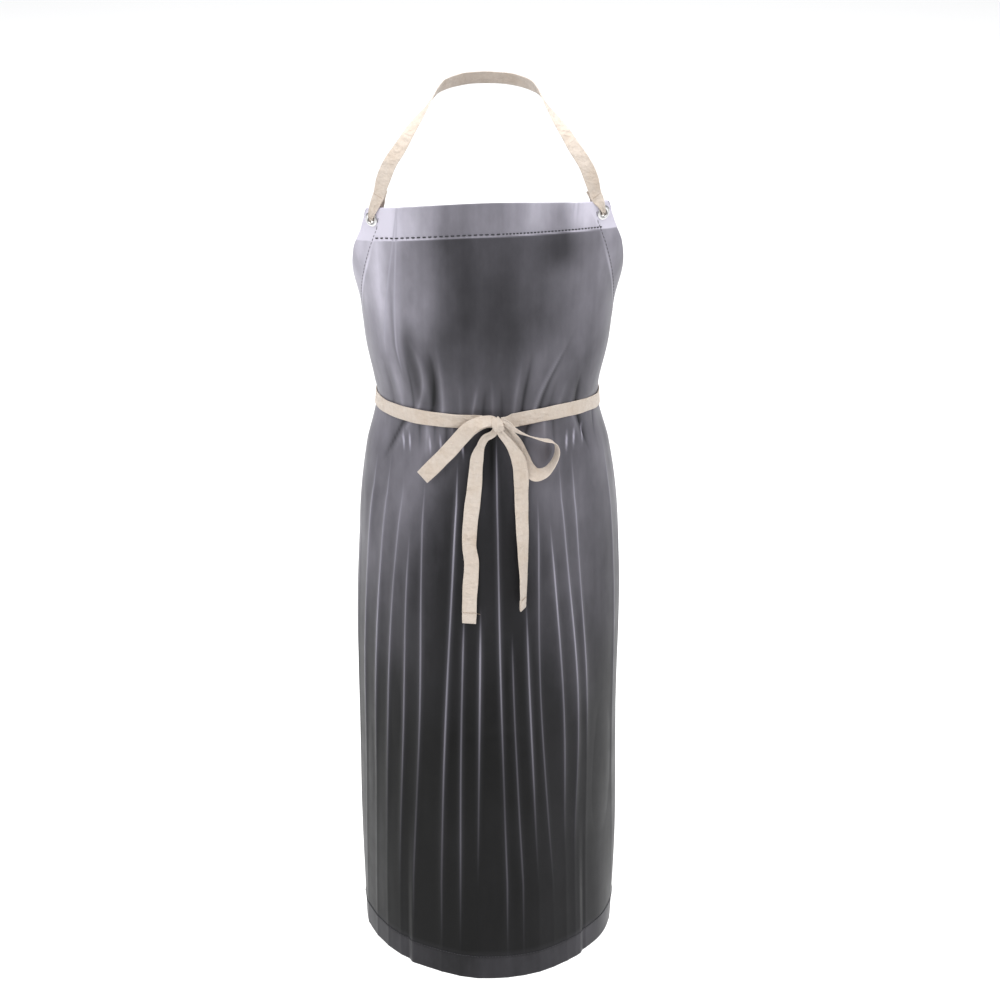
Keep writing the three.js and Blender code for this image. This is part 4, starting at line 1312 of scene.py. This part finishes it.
def make_apron():
    panel = make_panel()
    hems = [make_top_hem(), make_bottom_hem()]
    for side, sign in SIDES:
        hems += [make_armhole_hem(side, sign), make_side_hem(side, sign)]
    make_top_seam()
    make_bottom_seam()
    for side, sign in SIDES:
        make_edge_seams(side, sign)
    grommets = {
        (place, side): grommet_frame(sign, at)
        for place, at in (("bib", BIB_GROMMET), ("waist", WAIST_GROMMET))
        for side, sign in SIDES
    }
    for (place, side), grommet in grommets.items():
        make_grommet(place, side, grommet)
    make_neck_strap(grommets)
    make_waist_tie("left", -1, 0.0, 8, grommets)
    make_waist_tie("right", 1, 3.0, 1, grommets)
    make_knot()
    make_loop("left", LOOP_LEFT)
    make_loop("right", LOOP_RIGHT)
    make_tail("left", TAIL_LEFT)
    make_tail("right", TAIL_RIGHT)


# ---- The stage ----

def plain_material(name, colour, roughness):
    material, tree, shader = new_material(name)
    shade = [c * 0.985 for c in colour]
    speckled = mix_colours(tree, noise(tree, 3.0, detail=2.0), colour, shade)
    plug(tree, shader, {"Base Color": speckled, "Roughness": roughness})
    return material


def make_stage():
    floor_z = HEM_FRONT_Z - 0.32
    reach = 30
    corners = [(x * reach, y * reach, floor_z) for x, y in ((-1, -1), (1, -1), (1, 1), (-1, 1))]
    floor = new_object("floor", corners, [(0, 1, 2, 3)], smooth=False)
    floor.data.materials.append(plain_material("pale_floor", (0.93, 0.93, 0.93), 0.9))


def aim(thing, place, target):
    direction = np.array(target) - np.array(place)
    yaw = math.atan2(direction[0], direction[1])
    level = math.hypot(direction[0], direction[1])
    thing.location = place
    thing.rotation_euler = (math.pi / 2 + math.atan2(direction[2], level), 0, -yaw)


def area_light(name, place, target, size, power):
    data = bpy.data.lights.new(name, "AREA")
    data.shape = "RECTANGLE"
    data.size, data.size_y = size
    data.energy = power
    light = bpy.data.objects.new(name, data)
    bpy.context.scene.collection.objects.link(light)
    aim(light, place, target)


def make_lights():
    middle = (0, 0, -0.6)
    area_light("overhead", (0, 1.5, 3.4), (0, 1.5, 0), (8, 9), 620)
    area_light("key", (-2.6, -2.8, 1.6), middle, (1.6, 2.4), 40)
    area_light("fill", (2.8, -2.4, 1.0), middle, (1.4, 2.4), 22)
    world = bpy.data.worlds.new("studio")
    world.use_nodes = True
    world.node_tree.nodes["Background"].inputs["Color"].default_value = (0.97, 0.98, 1.0, 1)
    world.node_tree.nodes["Background"].inputs["Strength"].default_value = 0.3
    bpy.context.scene.world = world
    bpy.context.scene.view_settings.view_transform = "Standard"


def make_camera():
    """A long lens in front and above, aimed at the middle of the apron."""
    elevation, distance = math.radians(23.5), 4.9
    target = np.array([16.6 * MM, 0, -577 * MM])
    place = target + distance * np.array([0, -math.cos(elevation), math.sin(elevation)])
    data = bpy.data.cameras.new("camera")
    data.lens, data.sensor_width = 127.8, 36
    camera = bpy.data.objects.new("camera", data)
    bpy.context.scene.collection.objects.link(camera)
    aim(camera, tuple(place), tuple(target))
    bpy.context.scene.camera = camera


make_camera()
make_stage()
make_lights()
make_apron()
